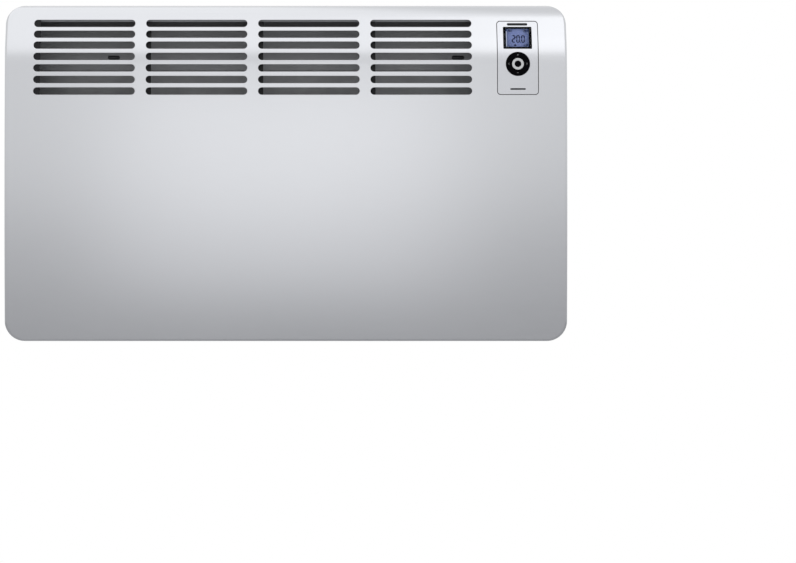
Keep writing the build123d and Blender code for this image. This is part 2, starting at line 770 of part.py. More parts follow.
def control_bezel():
    face = front_layer(bezel_outline(0), 0, BEZEL_T)
    flange = front_layer(bezel_outline(BEZEL_FLANGE), BODY_SKIN, BEZEL_T)
    name_pocket = front_layer(inlay_outline(NAME_Z, NAME_W, NAME_H, RUN), -FREE, INLAY_T)
    model_pocket = front_layer(inlay_outline(MODEL_Z, MODEL_W, MODEL_H, RUN), -FREE, INLAY_T)
    with BuildPart() as bezel:
        add(face)
        add(flange)
        add(name_pocket, mode=Mode.SUBTRACT)
        add(model_pocket, mode=Mode.SUBTRACT)
        with BuildSketch(Plane.XZ):
            add(display_outline(0))
        extrude(amount=2 * DEPTH, mode=Mode.SUBTRACT)
        with BuildSketch(KEY_PLANE.offset(-RIM)):
            Circle(KEY_D / 2 + FREE)
        extrude(amount=2 * RIM, mode=Mode.SUBTRACT)
    save(bezel, "control_bezel")


def bezel_inlays():
    for label, z, width, height in (
        ("name_inlay", NAME_Z, NAME_W, NAME_H),
        ("model_inlay", MODEL_Z, MODEL_W, MODEL_H),
    ):
        with BuildPart() as inlay:
            add(front_layer(inlay_outline(z, width, height, 0), 0, INLAY_T))
        save(inlay, label)


def display():
    with BuildPart() as lens:
        add(front_layer(display_outline(-RUN), 0, LENS_T))
    save(lens, "display_lens")

    with BuildPart() as mask:
        add(front_layer(display_outline(-RUN), LENS_T, LENS_T + MASK_T))
        with BuildSketch(Plane.XZ):
            with Locations((BEZEL_X, DISPLAY_Z)):
                Rectangle(VIEW_W, VIEW_H)
        extrude(amount=2 * DEPTH, mode=Mode.SUBTRACT)
    save(mask, "display_mask")

    with BuildPart() as panel:
        with BuildSketch(DISPLAY_PLANE.offset(-LCD_DEPTH)):
            Rectangle(LCD_W, LCD_H)
        extrude(amount=-LCD_T)
    save(panel, "lcd_panel")

    with BuildPart() as backlight:
        with BuildSketch(DISPLAY_PLANE.offset(-LCD_DEPTH - LCD_T)):
            Rectangle(LCD_W, LCD_H)
        extrude(amount=-BACKLIGHT_T)
    save(backlight, "lcd_backlight")


def ring_directions(radius, start):
    """Four points round the key's centre, a quarter turn apart."""
    angles = [radians(start + 90 * quarter) for quarter in range(4)]
    return [(radius * cos(angle), radius * sin(angle)) for angle in angles]


def control_housing():
    """Tray behind the bezel, with a shelf that carries the key ring's pivots and the button's guide."""
    inner_w = HOUSING_W - 2 * HOUSING_T
    with BuildSketch() as outline:
        with Locations((BEZEL_X, BEZEL_Z)):
            RectangleRounded(HOUSING_W, HOUSING_H, BEZEL_R)
    with BuildSketch() as hollow:
        with Locations((BEZEL_X, BEZEL_Z)):
            RectangleRounded(inner_w, HOUSING_H - 2 * HOUSING_T, BEZEL_R - HOUSING_T)
    with BuildPart() as housing:
        with BuildSketch(Plane.YZ.offset(BEZEL_X - HOUSING_W / 2)):
            add(side_face(BEZEL_T, HOUSING_LOW, HOUSING_TOP, HOUSING_BACK_Y))
        extrude(amount=HOUSING_W)
        with BuildSketch(Plane.XZ):
            add(outline.sketch)
        extrude(amount=2 * DEPTH, mode=Mode.INTERSECT)
        with BuildSketch(Plane.XZ.offset(-HOUSING_BACK_Y + HOUSING_T)):
            add(hollow.sketch)
        extrude(amount=DEPTH, mode=Mode.SUBTRACT)
        with BuildSketch(KEY_PLANE.offset(-SHELF_DEPTH)):
            Rectangle(inner_w, KEY_D + 2 * SHELF_MARGIN)
        extrude(amount=-SHELF_T)
        with BuildSketch(KEY_PLANE.offset(-SHELF_DEPTH)):
            Circle(STEM_R + GUIDE_WALL)
            post_r = (CARRIER_OUT_R + KEY_D / 2) / 2
            with Locations((-post_r, 0), (post_r, 0)):
                Rectangle(POST_T, POST_W)
        extrude(amount=SHELF_DEPTH - POST_TOP)
        with BuildSketch(KEY_PLANE.offset(-POST_TOP)):
            Circle(STEM_R + GUIDE_WALL)
        extrude(amount=POST_TOP - BUTTON_T - BUTTON_TRAVEL - GUIDE_GAP, mode=Mode.SUBTRACT)
        with BuildSketch(KEY_PLANE.offset(-SHELF_DEPTH - SHELF_T - FREE)):
            Circle(STEM_R + RUN)
            with Locations(*ring_directions(PLUNGER_RING_R, 45)):
                Circle(PLUNGER_R + SEAT)
        extrude(amount=SHELF_DEPTH + SHELF_T, mode=Mode.SUBTRACT)
        with BuildSketch(Plane.YZ.offset(BEZEL_X - KEY_D / 2)):
            with Locations(pivot_point()):
                Circle(PIVOT_R + RUN)
        extrude(amount=KEY_D, mode=Mode.SUBTRACT)
        with Locations((BEZEL_X, RIBBON_Y, HOUSING_LOW)):
            Box(RIBBON_W + 2 * FREE, RIBBON_T + 2 * FREE, 3 * HOUSING_T, mode=Mode.SUBTRACT)
    save(housing, "control_housing")


def pivot_point():
    """Crossing of the key ring's two pivot axes, as (y, z)."""
    centre = KEY_PLANE.offset(-PIVOT_DEPTH).origin
    return (centre.Y, centre.Z)


def control_board():
    with BuildPart() as board:
        with BuildSketch(BOARD_PLANE):
            with Locations((0, (BOARD_UP - BOARD_DOWN) / 2)):
                Rectangle(HOUSING_W - 2 * HOUSING_T - 2 * SEAT, BOARD_UP + BOARD_DOWN)
        extrude(amount=-BOARD_T)
    save(board, "control_board")


def key_switches():
    """Five push switches on the control board: four under the ring and one under the button."""
    with BuildPart() as switches:
        with BuildSketch(BOARD_PLANE):
            with Locations((0, 0), *ring_directions(PLUNGER_RING_R, 45)):
                Rectangle(SWITCH_W, SWITCH_W)
        extrude(amount=SWITCH_T)
        with BuildSketch(BOARD_PLANE.offset(SWITCH_T)):
            with Locations(*ring_directions(PLUNGER_RING_R, 45)):
                Circle(PLUNGER_R)
        extrude(amount=BOARD_DEPTH - SWITCH_T - PLUNGER_TOP)
    save(switches, "key_switches")


def ring_carrier():
    """Gimbal ring: two pins turn in the housing's posts and two carry the key ring."""
    with BuildPart() as carrier:
        with BuildSketch(KEY_PLANE.offset(-PIVOT_DEPTH + CARRIER_T / 2)):
            Circle(CARRIER_OUT_R)
            Circle(CARRIER_IN_R, mode=Mode.SUBTRACT)
        extrude(amount=-CARRIER_T)
        across = Plane(KEY_PLANE.offset(-PIVOT_DEPTH).origin, x_dir=(0, 0, 1), z_dir=(1, 0, 0))
        upward = Plane(KEY_PLANE.offset(-PIVOT_DEPTH).origin, x_dir=(1, 0, 0), z_dir=KEY_PLANE.y_dir)
        reach = KEY_D / 2 - PIVOT_SHORT - CARRIER_OUT_R + PIVOT_ROOT
        for plane in (across, upward):
            for way in (-1, 1):
                with BuildSketch(plane.offset(way * (CARRIER_OUT_R - PIVOT_ROOT))):
                    Circle(PIVOT_R)
                extrude(amount=way * reach)
    save(carrier, "ring_carrier")


def key_ring():
    with BuildPart() as ring:
        with BuildSketch(KEY_PLANE.offset(KEY_PROUD)):
            Circle(KEY_D / 2)
            Circle(BUTTON_D / 2 + FREE, mode=Mode.SUBTRACT)
        extrude(amount=-KEY_T)
        chamfer(ring.edges().group_by(Axis.Y)[0], KEY_PROUD / 2)
        with BuildSketch(KEY_PLANE.offset(KEY_PROUD - KEY_T)):
            lug_r = (CARRIER_OUT_R + KEY_D / 2) / 2 + SEAT
            with Locations((0, -lug_r), (0, lug_r)):
                Rectangle(POST_W, KEY_LUG_T)
        extrude(amount=-(PIVOT_DEPTH + PIVOT_R + KEY_LUG_END - KEY_T + KEY_PROUD))
        pivot = Plane(KEY_PLANE.offset(-PIVOT_DEPTH).origin, x_dir=(1, 0, 0), z_dir=KEY_PLANE.y_dir)
        with BuildSketch(pivot.offset(-KEY_D)):
            Circle(PIVOT_R + RUN)
        extrude(amount=2 * KEY_D, mode=Mode.SUBTRACT)
    save(ring, "key_ring")


def ok_button():
    with BuildPart() as button:
        with BuildSketch(KEY_PLANE.offset(BUTTON_PROUD)):
            Circle(BUTTON_D / 2)
        extrude(amount=-BUTTON_T)
        with BuildSketch(KEY_PLANE.offset(BUTTON_PROUD)):
            Circle(INLAY_D / 2 + RUN)
        extrude(amount=-INLAY_T - RUN, mode=Mode.SUBTRACT)
        with BuildSketch(KEY_PLANE.offset(BUTTON_PROUD - BUTTON_T)):
            Circle(STEM_R)
        extrude(amount=-(BOARD_DEPTH - SWITCH_T - BUTTON_T + BUTTON_PROUD - BUTTON_TRAVEL - RUN))
    save(button, "ok_button")

    with BuildPart() as inlay:
        with BuildSketch(KEY_PLANE.offset(BUTTON_PROUD - RUN)):
            Circle(INLAY_D / 2)
        extrude(amount=-INLAY_T)
    save(inlay, "ok_inlay")


# ---- wall bracket ----
def bracket_uprights():
    depth = BACK_GAP - SEAT
    for label, x in (("bracket_upright_left", -SCREW_X), ("bracket_upright_right", SCREW_X)):
        tall = UPRIGHT_TOP - UPRIGHT_LOW
        middle = (UPRIGHT_TOP + UPRIGHT_LOW) / 2
        with BuildPart() as upright:
            with BuildSketch(Plane.XZ):
                with Locations((x, middle)):
                    Rectangle(UPRIGHT_W, tall)
            extrude(amount=depth)
            with BuildSketch(Plane.XZ.offset(UPRIGHT_T)):
                with Locations((x, middle)):
                    Rectangle(UPRIGHT_W - 2 * UPRIGHT_T, tall + 2 * FREE)
            extrude(amount=depth, mode=Mode.SUBTRACT)
            with BuildSketch(Plane.XZ):
                with Locations((x, -SCREW_Z), (x, SCREW_Z)):
                    Circle(SCREW_HOLE_R)
            extrude(amount=UPRIGHT_T, mode=Mode.SUBTRACT)
            with BuildSketch(Plane.YZ.offset(x - UPRIGHT_W / 2)):
                with Locations((CATCH_PIN_Y, CATCH_Z)):
                    Circle(CATCH_PIN_R + RUN)
            extrude(amount=UPRIGHT_W, mode=Mode.SUBTRACT)
            with Locations((x, 0, HOOK_TOP)):
                Box(HOOK_W, HOOK_REACH, UPRIGHT_T, align=(Align.CENTER, Align.MAX, Align.MAX))
            with Locations((x, -HOOK_REACH, HOOK_TOP)):
                Box(HOOK_W, UPRIGHT_T, HOOK_LIP, align=(Align.CENTER, Align.MIN, Align.MIN))
        save(upright, label)


def bracket_rails():
    length = 2 * SCREW_X - UPRIGHT_W
    for label, z in (
        ("bracket_top_rail", TOP - TOP_RAIL_DOWN),
        ("bracket_bottom_rail", BOTTOM + LOW_RAIL_UP),
    ):
        with BuildPart() as rail:
            with Locations((0, 0, z)):
                Box(length, UPRIGHT_T, RAIL_H, align=(Align.CENTER, Align.MAX, Align.CENTER))
                with Locations((0, 0, RAIL_H / 2), (0, 0, -RAIL_H / 2 + UPRIGHT_T)):
                    Box(length, RAIL_FOLD, UPRIGHT_T, align=(Align.CENTER, Align.MAX, Align.MAX))
        save(rail, label)


def catches():
    """Sprung latches that hold the top of the heater to the bracket."""
    for side, x in (("left", -SCREW_X), ("right", SCREW_X)):
        with BuildPart() as catch:
            with BuildSketch(Plane.YZ.offset(x - CATCH_W / 2)):
                with Locations((CATCH_PIN_Y, CATCH_Z)):
                    Circle(CATCH_EYE_R)
                with Locations((CATCH_PIN_Y, CATCH_Z)):
                    Rectangle(CATCH_PIN_Y - CATCH_TIP_Y, CATCH_T, align=(Align.MAX, Align.CENTER))
                with Locations((CATCH_NOSE_Y, CATCH_Z)):
                    Rectangle(CATCH_NOSE_T, CATCH_NOSE_H, align=(Align.MIN, Align.MIN))
                with Locations((CATCH_PIN_Y, CATCH_Z)):
                    Circle(CATCH_PIN_R + RUN, mode=Mode.SUBTRACT)
            extrude(amount=CATCH_W)
        save(catch, f"catch_{side}")

        start = (x + CATCH_W / 2 + SPRING_WIRE / 2 + RUN, CATCH_PIN_Y, CATCH_Z)
        length = SPRING_PITCH * SPRING_TURNS
        with BuildPart() as spring:
            with BuildLine():
                coil = Helix(SPRING_PITCH, length, SPRING_R, center=start, direction=(1, 0, 0))
            with BuildSketch(Plane(coil @ 0, z_dir=coil % 0)):
                Circle(SPRING_WIRE / 2)
            sweep()
        save(spring, f"catch_spring_{side}")


def catch_pins():
    length = UPRIGHT_W + 2 * PIN_END
    with BuildPart() as pins:
        for x in (-SCREW_X, SCREW_X):
            with BuildSketch(Plane.YZ.offset(x - length / 2)):
                with Locations((CATCH_PIN_Y, CATCH_Z)):
                    Circle(CATCH_PIN_R)
            extrude(amount=length)
    save(pins, "catch_pins")


def wall_buffers():
    with BuildPart() as buffers:
        with BuildSketch(Plane.XZ):
            with Locations((-BUFFER_X, BUFFER_Z), (BUFFER_X, BUFFER_Z)):
                Circle(BUFFER_R)
        extrude(amount=BACK_GAP)
    save(buffers, "wall_buffers")


# ---- heating element ----
def heating_tube():
    """Hairpin tube: two legs joined by a half turn at the left."""
    bend_x = TUBE_LEFT_X + TUBE_SPREAD / 2
    with BuildPart() as tube:
        with BuildLine(Plane.XY.offset(TUBE_Z)) as path:
            Line((TAIL_X, TUBE_REAR_Y), (bend_x, TUBE_REAR_Y))
            ThreePointArc(
                (bend_x, TUBE_REAR_Y),
                (TUBE_LEFT_X, DUCT_MIDDLE_Y),
                (bend_x, TUBE_FRONT_Y),
            )
            Line((bend_x, TUBE_FRONT_Y), (TAIL_X, TUBE_FRONT_Y))
        with BuildSketch(Plane(origin=(TAIL_X, TUBE_REAR_Y, TUBE_Z), z_dir=(-1, 0, 0))):
            Circle(TUBE_R)
        sweep(path=path.wires()[0])
    save(tube, "heating_tube")


def element_fins():
    planes = [Plane.YZ.offset(FIN_FIRST_X + index * FIN_PITCH) for index in range(FIN_COUNT)]
    with BuildPart() as fins:
        with BuildSketch(*planes):
            with Locations((DUCT_MIDDLE_Y, TUBE_Z)):
                RectangleRounded(FIN_DEEP, FIN_TALL, FIN_CORNER)
            with Locations((TUBE_REAR_Y, TUBE_Z), (TUBE_FRONT_Y, TUBE_Z)):
                Circle(TUBE_R + RUN, mode=Mode.SUBTRACT)
        extrude(amount=FIN_T)
    save(fins, "element_fins")


def element_brackets():
    """Plates across the duct that carry the element, with feet on the rear shield."""
    back = REAR_SHIELD_FRONT - SEAT
    front = FRONT_SHIELD_Y + SHIELD_T + SEAT
    for label, x in (
        ("element_bracket_left", HOLDER_LEFT_X),
        ("element_bracket_right", HOLDER_RIGHT_X),
    ):
        with BuildPart() as bracket:
            with BuildSketch(Plane.YZ.offset(x)):
                with Locations((back, TUBE_Z)):
                    Rectangle(back - front, HOLDER_TALL, align=(Align.MAX, Align.CENTER))
                with Locations((TUBE_REAR_Y, TUBE_Z), (TUBE_FRONT_Y, TUBE_Z)):
                    Circle(TUBE_R + RUN, mode=Mode.SUBTRACT)
            extrude(amount=HOLDER_T)
            with Locations((x, back, TUBE_Z)):
                Box(HOLDER_FOOT, HOLDER_T, HOLDER_TALL, align=(Align.MIN, Align.MAX, Align.CENTER))
        save(bracket, label)


def element_ends():
    """Bushes in the partition plate, beads on the tube's tails and their tab terminals."""
    legs = [(TUBE_REAR_Y, TUBE_Z), (TUBE_FRONT_Y, TUBE_Z)]
    with BuildPart() as bushes:
        with BuildSketch(Plane.YZ.offset(PARTITION_X + PANEL_T)):
            with Locations(*legs):
                Circle(BUSH_R)
        extrude(amount=BUSH_T / 2)
        with BuildSketch(Plane.YZ.offset(PARTITION_X)):
            with Locations(*legs):
                Circle(BUSH_R - BUSH_LIP - RUN)
        extrude(amount=PANEL_T)
        with BuildSketch(Plane.YZ.offset(PARTITION_X - FREE)):
            with Locations(*legs):
                Circle(TUBE_R + RUN)
        extrude(amount=BUSH_T, mode=Mode.SUBTRACT)
    save(bushes, "element_bushes")

    with BuildPart() as beads:
        with BuildSketch(Plane.YZ.offset(TAIL_X)):
            with Locations(*legs):
                Circle(BEAD_R)
        extrude(amount=BEAD_L)
    save(beads, "terminal_beads")

    with BuildPart() as tabs:
        with BuildSketch(Plane.YZ.offset(TAIL_X + BEAD_L)):
            with Locations(*legs):
                Rectangle(TAB_T, TAB_W)
        extrude(amount=TAB_L)
    save(tabs, "element_terminals")


def safety_cutout():
    """Disc limiter on the rear shield above the fins, with its two tabs."""
    with BuildPart() as cutout:
        with Locations(Plane.XZ.offset(-REAR_SHIELD_FRONT)):
            with Locations((CUTOUT_X, TUBE_Z + CUTOUT_ABOVE)):
                Box(
                    CUTOUT_FOOT_W,
                    CUTOUT_FOOT_H,
                    CUTOUT_FOOT_T,
                    align=(Align.CENTER, Align.CENTER, Align.MIN),
                )
                Cylinder(CUTOUT_R, CUTOUT_D, align=(Align.CENTER, Align.CENTER, Align.MIN))
                with Locations((-CUTOUT_TAB_X, 0, CUTOUT_D), (CUTOUT_TAB_X, 0, CUTOUT_D)):
                    Box(TAB_T, TAB_W, TAB_L, align=(Align.CENTER, Align.CENTER, Align.MIN))
    save(cutout, "safety_cutout")


# ---- electrics ----
def power_plane():
    return Plane.XZ.offset(-POWER_Y)


def power_board():
    with BuildPart() as board:
        with BuildSketch(power_plane()):
            with Locations((POWER_X, POWER_Z)):
                Rectangle(POWER_W, POWER_H)
                with GridLocations(2 * POWER_HOLE_X, 2 * POWER_HOLE_Z, 2, 2):
                    Circle(SCREW_R + RUN, mode=Mode.SUBTRACT)
        extrude(amount=BOARD_T)
    save(board, "power_board")

    with BuildPart() as spacers:
        with BuildSketch(power_plane()):
            with Locations((POWER_X, POWER_Z)):
                with GridLocations(2 * POWER_HOLE_X, 2 * POWER_HOLE_Z, 2, 2):
                    RegularPolygon(POST_R, 6)
        extrude(amount=POWER_Y - REAR_IN_Y)
        with BuildSketch(power_plane()):
            with Locations((POWER_X, POWER_Z)):
                with GridLocations(2 * POWER_HOLE_X, 2 * POWER_HOLE_Z, 2, 2):
                    Circle(SCREW_R + RUN)
        extrude(amount=-POST_HOLE, mode=Mode.SUBTRACT)
    save(spacers, "board_spacers")

    with BuildPart() as screws:
        with BuildSketch(power_plane().offset(BOARD_T)):
            with Locations((POWER_X, POWER_Z)):
                with GridLocations(2 * POWER_HOLE_X, 2 * POWER_HOLE_Z, 2, 2):
                    Circle(SCREW_HEAD_R)
        extrude(amount=SCREW_HEAD_T)
        with BuildSketch(power_plane().offset(BOARD_T)):
            with Locations((POWER_X, POWER_Z)):
                with GridLocations(2 * POWER_HOLE_X, 2 * POWER_HOLE_Z, 2, 2):
                    Circle(SCREW_R)
        extrude(amount=-BOARD_T - SCREW_L)
    save(screws, "board_screws")


def board_place(part):
    """Where a part's middle stands on the power board."""
    return Locations((POWER_X + part[3], POWER_Z + part[4]))


def board_parts():
    """What stands on the power board: relay, filter capacitor, transformer and heat sink."""
    face = power_plane().offset(BOARD_T)
    with BuildPart() as relay:
        with BuildSketch(face):
            with board_place(RELAY):
                RectangleRounded(RELAY[0], RELAY[1], RELAY_R)
        extrude(amount=RELAY[2])
    save(relay, "relay")

    with BuildPart() as capacitor:
        with BuildSketch(face):
            with board_place(CAPACITOR):
                RectangleRounded(CAPACITOR[0], CAPACITOR[1], CAPACITOR_R)
        extrude(amount=CAPACITOR[2])
    save(capacitor, "filter_capacitor")

    with BuildPart() as transformer:
        with BuildSketch(face):
            with board_place(TRANSFORMER):
                Rectangle(TRANSFORMER[0], TRANSFORMER[1])
        extrude(amount=TRANSFORMER[2])
        chamfer(transformer.edges().filter_by(Axis.Y), TRANSFORMER_CHAMFER)
    save(transformer, "transformer")

    with BuildPart() as sink:
        with BuildSketch(face):
            with board_place(SINK):
                Rectangle(SINK[0], SINK_BACK)
                with GridLocations(SINK_PITCH, 0, SINK_FINS, 1):
                    Rectangle(SINK_FIN_T, SINK[1])
        extrude(amount=SINK[2])
    save(sink, "heat_sink")


def terminal_block():
    with BuildPart() as block:
        with BuildSketch(Plane.XZ.offset(-REAR_IN_Y)):
            with Locations((TERMINAL_X, TERMINAL_Z)):
                Rectangle(TERMINAL_W, TERMINAL_H)
        extrude(amount=TERMINAL_D)
        with BuildSketch(Plane.XZ.offset(-REAR_IN_Y + TERMINAL_D)):
            with Locations((TERMINAL_X, TERMINAL_Z)):
                with GridLocations(TERMINAL_PITCH, TERMINAL_PITCH, TERMINAL_WAYS, 2):
                    Circle(TERMINAL_HOLE_R)
        extrude(amount=-TERMINAL_HOLE_D, mode=Mode.SUBTRACT)
    save(block, "terminal_block")

    with BuildPart() as screws:
        with BuildSketch(Plane.XZ.offset(-REAR_IN_Y + TERMINAL_D - TERMINAL_HOLE_D)):
            with Locations((TERMINAL_X, TERMINAL_Z)):
                with GridLocations(TERMINAL_PITCH, TERMINAL_PITCH, TERMINAL_WAYS, 2):
                    Circle(TERMINAL_SCREW_R)
        extrude(amount=TERMINAL_SCREW_T)
    save(screws, "terminal_screws")


def element_leads():
    """Two leads from the element's tabs up to the power board."""
    start_x = TAIL_X + BEAD_L + TAB_L
    board_y = POWER_Y - BOARD_T
    with BuildPart() as leads:
        for index, y in enumerate((TUBE_REAR_Y, TUBE_FRONT_Y)):
            x = LEAD_X + index * LEAD_STEP
            z = LEAD_Z + index * LEAD_STEP
            with BuildLine() as path:
                FilletPolyline(
                    (start_x, y, TUBE_Z), (x, y, TUBE_Z), (x, y, z), (x, board_y, z), radius=LEAD_BEND
                )
            with BuildSketch(Plane(origin=(start_x, y, TUBE_Z), z_dir=(1, 0, 0))):
                Circle(LEAD_R)
            sweep(path=path.wires()[0])
    save(leads, "element_leads")


def display_ribbon():
    """Flat cable from the back of the control board down to the power board."""
    board_back = BOARD_PLANE.offset(-BOARD_T)
    down = (RIBBON_TOP - board_back.origin.Z) / cos(radians(KEY_TILT))
    start_y = board_back.from_local_coords((0, down, 0)).Y + SEAT
    with BuildPart() as ribbon:
        with BuildLine() as path:
            FilletPolyline(
                (BEZEL_X, start_y, RIBBON_TOP),
                (BEZEL_X, RIBBON_Y, RIBBON_TOP),
                (BEZEL_X, RIBBON_Y, RIBBON_LOW),
                (BEZEL_X, POWER_Y - BOARD_T, RIBBON_LOW),
                radius=RIBBON_BEND,
            )
        with BuildSketch(Plane(origin=path.line @ 0, x_dir=(1, 0, 0), z_dir=(0, 1, 0))):
            Rectangle(RIBBON_W, RIBBON_T)
        sweep(path=path.wires()[0])
    save(ribbon, "display_ribbon")


# ---- mains switch ----
def mains_switch():
    face = Plane.YZ.offset(BODY_HALF)
    pivot_x = BODY_HALF - ROCKER_PIVOT_IN
    inner_w = SWITCH_BODY_W - 2 * SWITCH_WALL
    with BuildPart() as body:
        with BuildSketch(face):
            with Locations((SWITCH_Y, SWITCH_Z)):
                RectangleRounded(
                    SWITCH_BODY_W + 2 * SWITCH_FLANGE,
                    SWITCH_BODY_H + 2 * SWITCH_FLANGE,
                    SWITCH_FLANGE_R,
                )
        extrude(amount=SWITCH_FLANGE_T)
        with BuildSketch(face):
            with Locations((SWITCH_Y, SWITCH_Z)):
                Rectangle(SWITCH_BODY_W, SWITCH_BODY_H)
        extrude(amount=-SWITCH_BODY_D)
        with BuildSketch(face.offset(SWITCH_FLANGE_T)):
            with Locations((SWITCH_Y, SWITCH_Z)):
                Rectangle(inner_w, SWITCH_BODY_H - 2 * SWITCH_WALL)
        extrude(amount=-SWITCH_FLANGE_T - SWITCH_WELL, mode=Mode.SUBTRACT)
        with BuildSketch(Plane.XZ.offset(-SWITCH_Y - SWITCH_BODY_W)):
            with Locations((pivot_x, SWITCH_Z)):
                Circle(ROCKER_PIVOT_R + RUN)
        extrude(amount=2 * SWITCH_BODY_W, mode=Mode.SUBTRACT)
        with BuildSketch(face.offset(-SWITCH_BODY_D)):
            with Locations((SWITCH_Y, SWITCH_Z)):
                with GridLocations(0, SWITCH_TAB_PITCH, 1, 2):
                    Rectangle(TAB_W, TAB_T)
        extrude(amount=-TAB_L)
    save(body, "mains_switch_body")

    half = ROCKER_H / 2
    rise = ROCKER_RISE + half * tan(radians(ROCKER_TILT))
    with BuildPart() as rocker:
        with BuildSketch(Plane.XZ.offset(-SWITCH_Y - inner_w / 2 + SEAT)):
            with Locations((pivot_x, SWITCH_Z)):
                with Locations(Rotation(0, 0, -ROCKER_TILT)):
                    Polygon(
                        (ROCKER_RISE, 0),
                        (rise, half),
                        (-ROCKER_KEEL / 2, half - ROCKER_SHOULDER),
                        (-ROCKER_KEEL, 0),
                        (-ROCKER_KEEL / 2, -half + ROCKER_SHOULDER),
                        (rise, -half),
                        align=None,
                    )
        extrude(amount=inner_w - 2 * SEAT)
        with BuildSketch(Plane.XZ.offset(-SWITCH_Y - SWITCH_BODY_W / 2 + RUN)):
            with Locations((pivot_x, SWITCH_Z)):
                Circle(ROCKER_PIVOT_R)
        extrude(amount=SWITCH_BODY_W - 2 * RUN)
    save(rocker, "mains_rocker")


# ---- cable entry, sensor ----
def cable_gland():
    with BuildPart() as gland:
        with Locations((GLAND_X, GLAND_Y, GRILLE_Z + PANEL_T)):
            Cylinder(GLAND_FLANGE_R, GLAND_FLANGE_T, align=(Align.CENTER, Align.CENTER, Align.MIN))
            Cylinder(GLAND_R, GLAND_UP, align=(Align.CENTER, Align.CENTER, Align.MIN))
            Cylinder(GLAND_R, PANEL_T + END_T, align=(Align.CENTER, Align.CENTER, Align.MAX))
            Cylinder(GLAND_BORE_R, HEIGHT / 4, mode=Mode.SUBTRACT)
    save(gland, "cable_gland")


def room_sensor():
    floor = GRILLE_Z + PANEL_T
    centre = (SENSOR_Y, floor + CLIP_RISE + SENSOR_R)
    width = 2 * (SENSOR_R + CLIP_WALL)
    with BuildPart() as clip:
        with BuildSketch(Plane.YZ.offset(SENSOR_X - CLIP_L / 2)):
            with Locations((SENSOR_Y, floor)):
                Rectangle(width, 2 * (SENSOR_R + CLIP_RISE), align=(Align.CENTER, Align.MIN))
            with Locations(centre):
                Circle(SENSOR_R + RUN, mode=Mode.SUBTRACT)
        extrude(amount=CLIP_L)
    save(clip, "sensor_clip")

    with BuildPart() as sensor:
        with BuildSketch(Plane.YZ.offset(SENSOR_X - SENSOR_L / 2)):
            with Locations(centre):
                Circle(SENSOR_R)
        extrude(amount=SENSOR_L)
    save(sensor, "room_sensor")


front_cover()
cover_screws()
end_cap("end_cap_left", False, False, -1)
end_cap("end_cap_right", True, True, 1)
rear_panel()
top_panel()
bottom_grille()
partition_plate()
heat_shield("front_heat_shield", FRONT_SHIELD_Y, -SHIELD_FOLD, FRONT_SHIELD_TOP, FRONT_SHIELD_TOP)
heat_shield("rear_heat_shield", REAR_SHIELD_Y, SHIELD_FOLD, DEFLECTOR_LOW - SEAT, REAR_SHIELD_TOP)
air_deflector()
cover_hooks()
control_bezel()
bezel_inlays()
display()
control_housing()
control_board()
key_switches()
ring_carrier()
key_ring()
ok_button()
bracket_uprights()
bracket_rails()
catches()
catch_pins()
wall_buffers()
heating_tube()
element_fins()
element_brackets()
element_ends()
safety_cutout()
power_board()
board_parts()
terminal_block()
element_leads()
display_ribbon()
mains_switch()
cable_gland()
room_sensor()
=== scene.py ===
"""Wall panel convector heater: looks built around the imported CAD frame. +Z up, front towards -Y.

Shapes are in millimetres until make_mesh turns them into metres. Floor, lamps and camera are in metres.
"""

import json
import math
from collections import namedtuple

import bpy
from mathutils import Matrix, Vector
from mathutils.geometry import delaunay_2d_cdt


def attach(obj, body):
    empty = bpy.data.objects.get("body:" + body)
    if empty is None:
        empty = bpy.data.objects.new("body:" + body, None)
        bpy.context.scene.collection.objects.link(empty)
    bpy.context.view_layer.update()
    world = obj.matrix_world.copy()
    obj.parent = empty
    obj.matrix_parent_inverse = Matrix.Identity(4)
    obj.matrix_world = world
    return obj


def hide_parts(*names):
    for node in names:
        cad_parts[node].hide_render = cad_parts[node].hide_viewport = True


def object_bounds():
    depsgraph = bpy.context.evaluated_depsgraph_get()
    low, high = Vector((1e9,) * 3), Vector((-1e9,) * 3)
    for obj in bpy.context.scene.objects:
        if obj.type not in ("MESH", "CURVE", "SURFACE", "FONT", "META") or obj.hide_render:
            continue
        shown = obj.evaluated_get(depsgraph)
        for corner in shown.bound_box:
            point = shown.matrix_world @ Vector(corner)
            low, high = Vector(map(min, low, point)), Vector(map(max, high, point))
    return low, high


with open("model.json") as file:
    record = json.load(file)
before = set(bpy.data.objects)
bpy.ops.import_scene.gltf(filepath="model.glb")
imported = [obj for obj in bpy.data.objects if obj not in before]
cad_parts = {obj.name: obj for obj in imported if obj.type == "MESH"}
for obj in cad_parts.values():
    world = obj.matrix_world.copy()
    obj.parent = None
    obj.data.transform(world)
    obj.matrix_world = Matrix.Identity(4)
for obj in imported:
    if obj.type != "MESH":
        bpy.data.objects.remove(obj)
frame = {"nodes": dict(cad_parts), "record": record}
nodes = frame["nodes"]
cad_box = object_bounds()

MM = 0.001

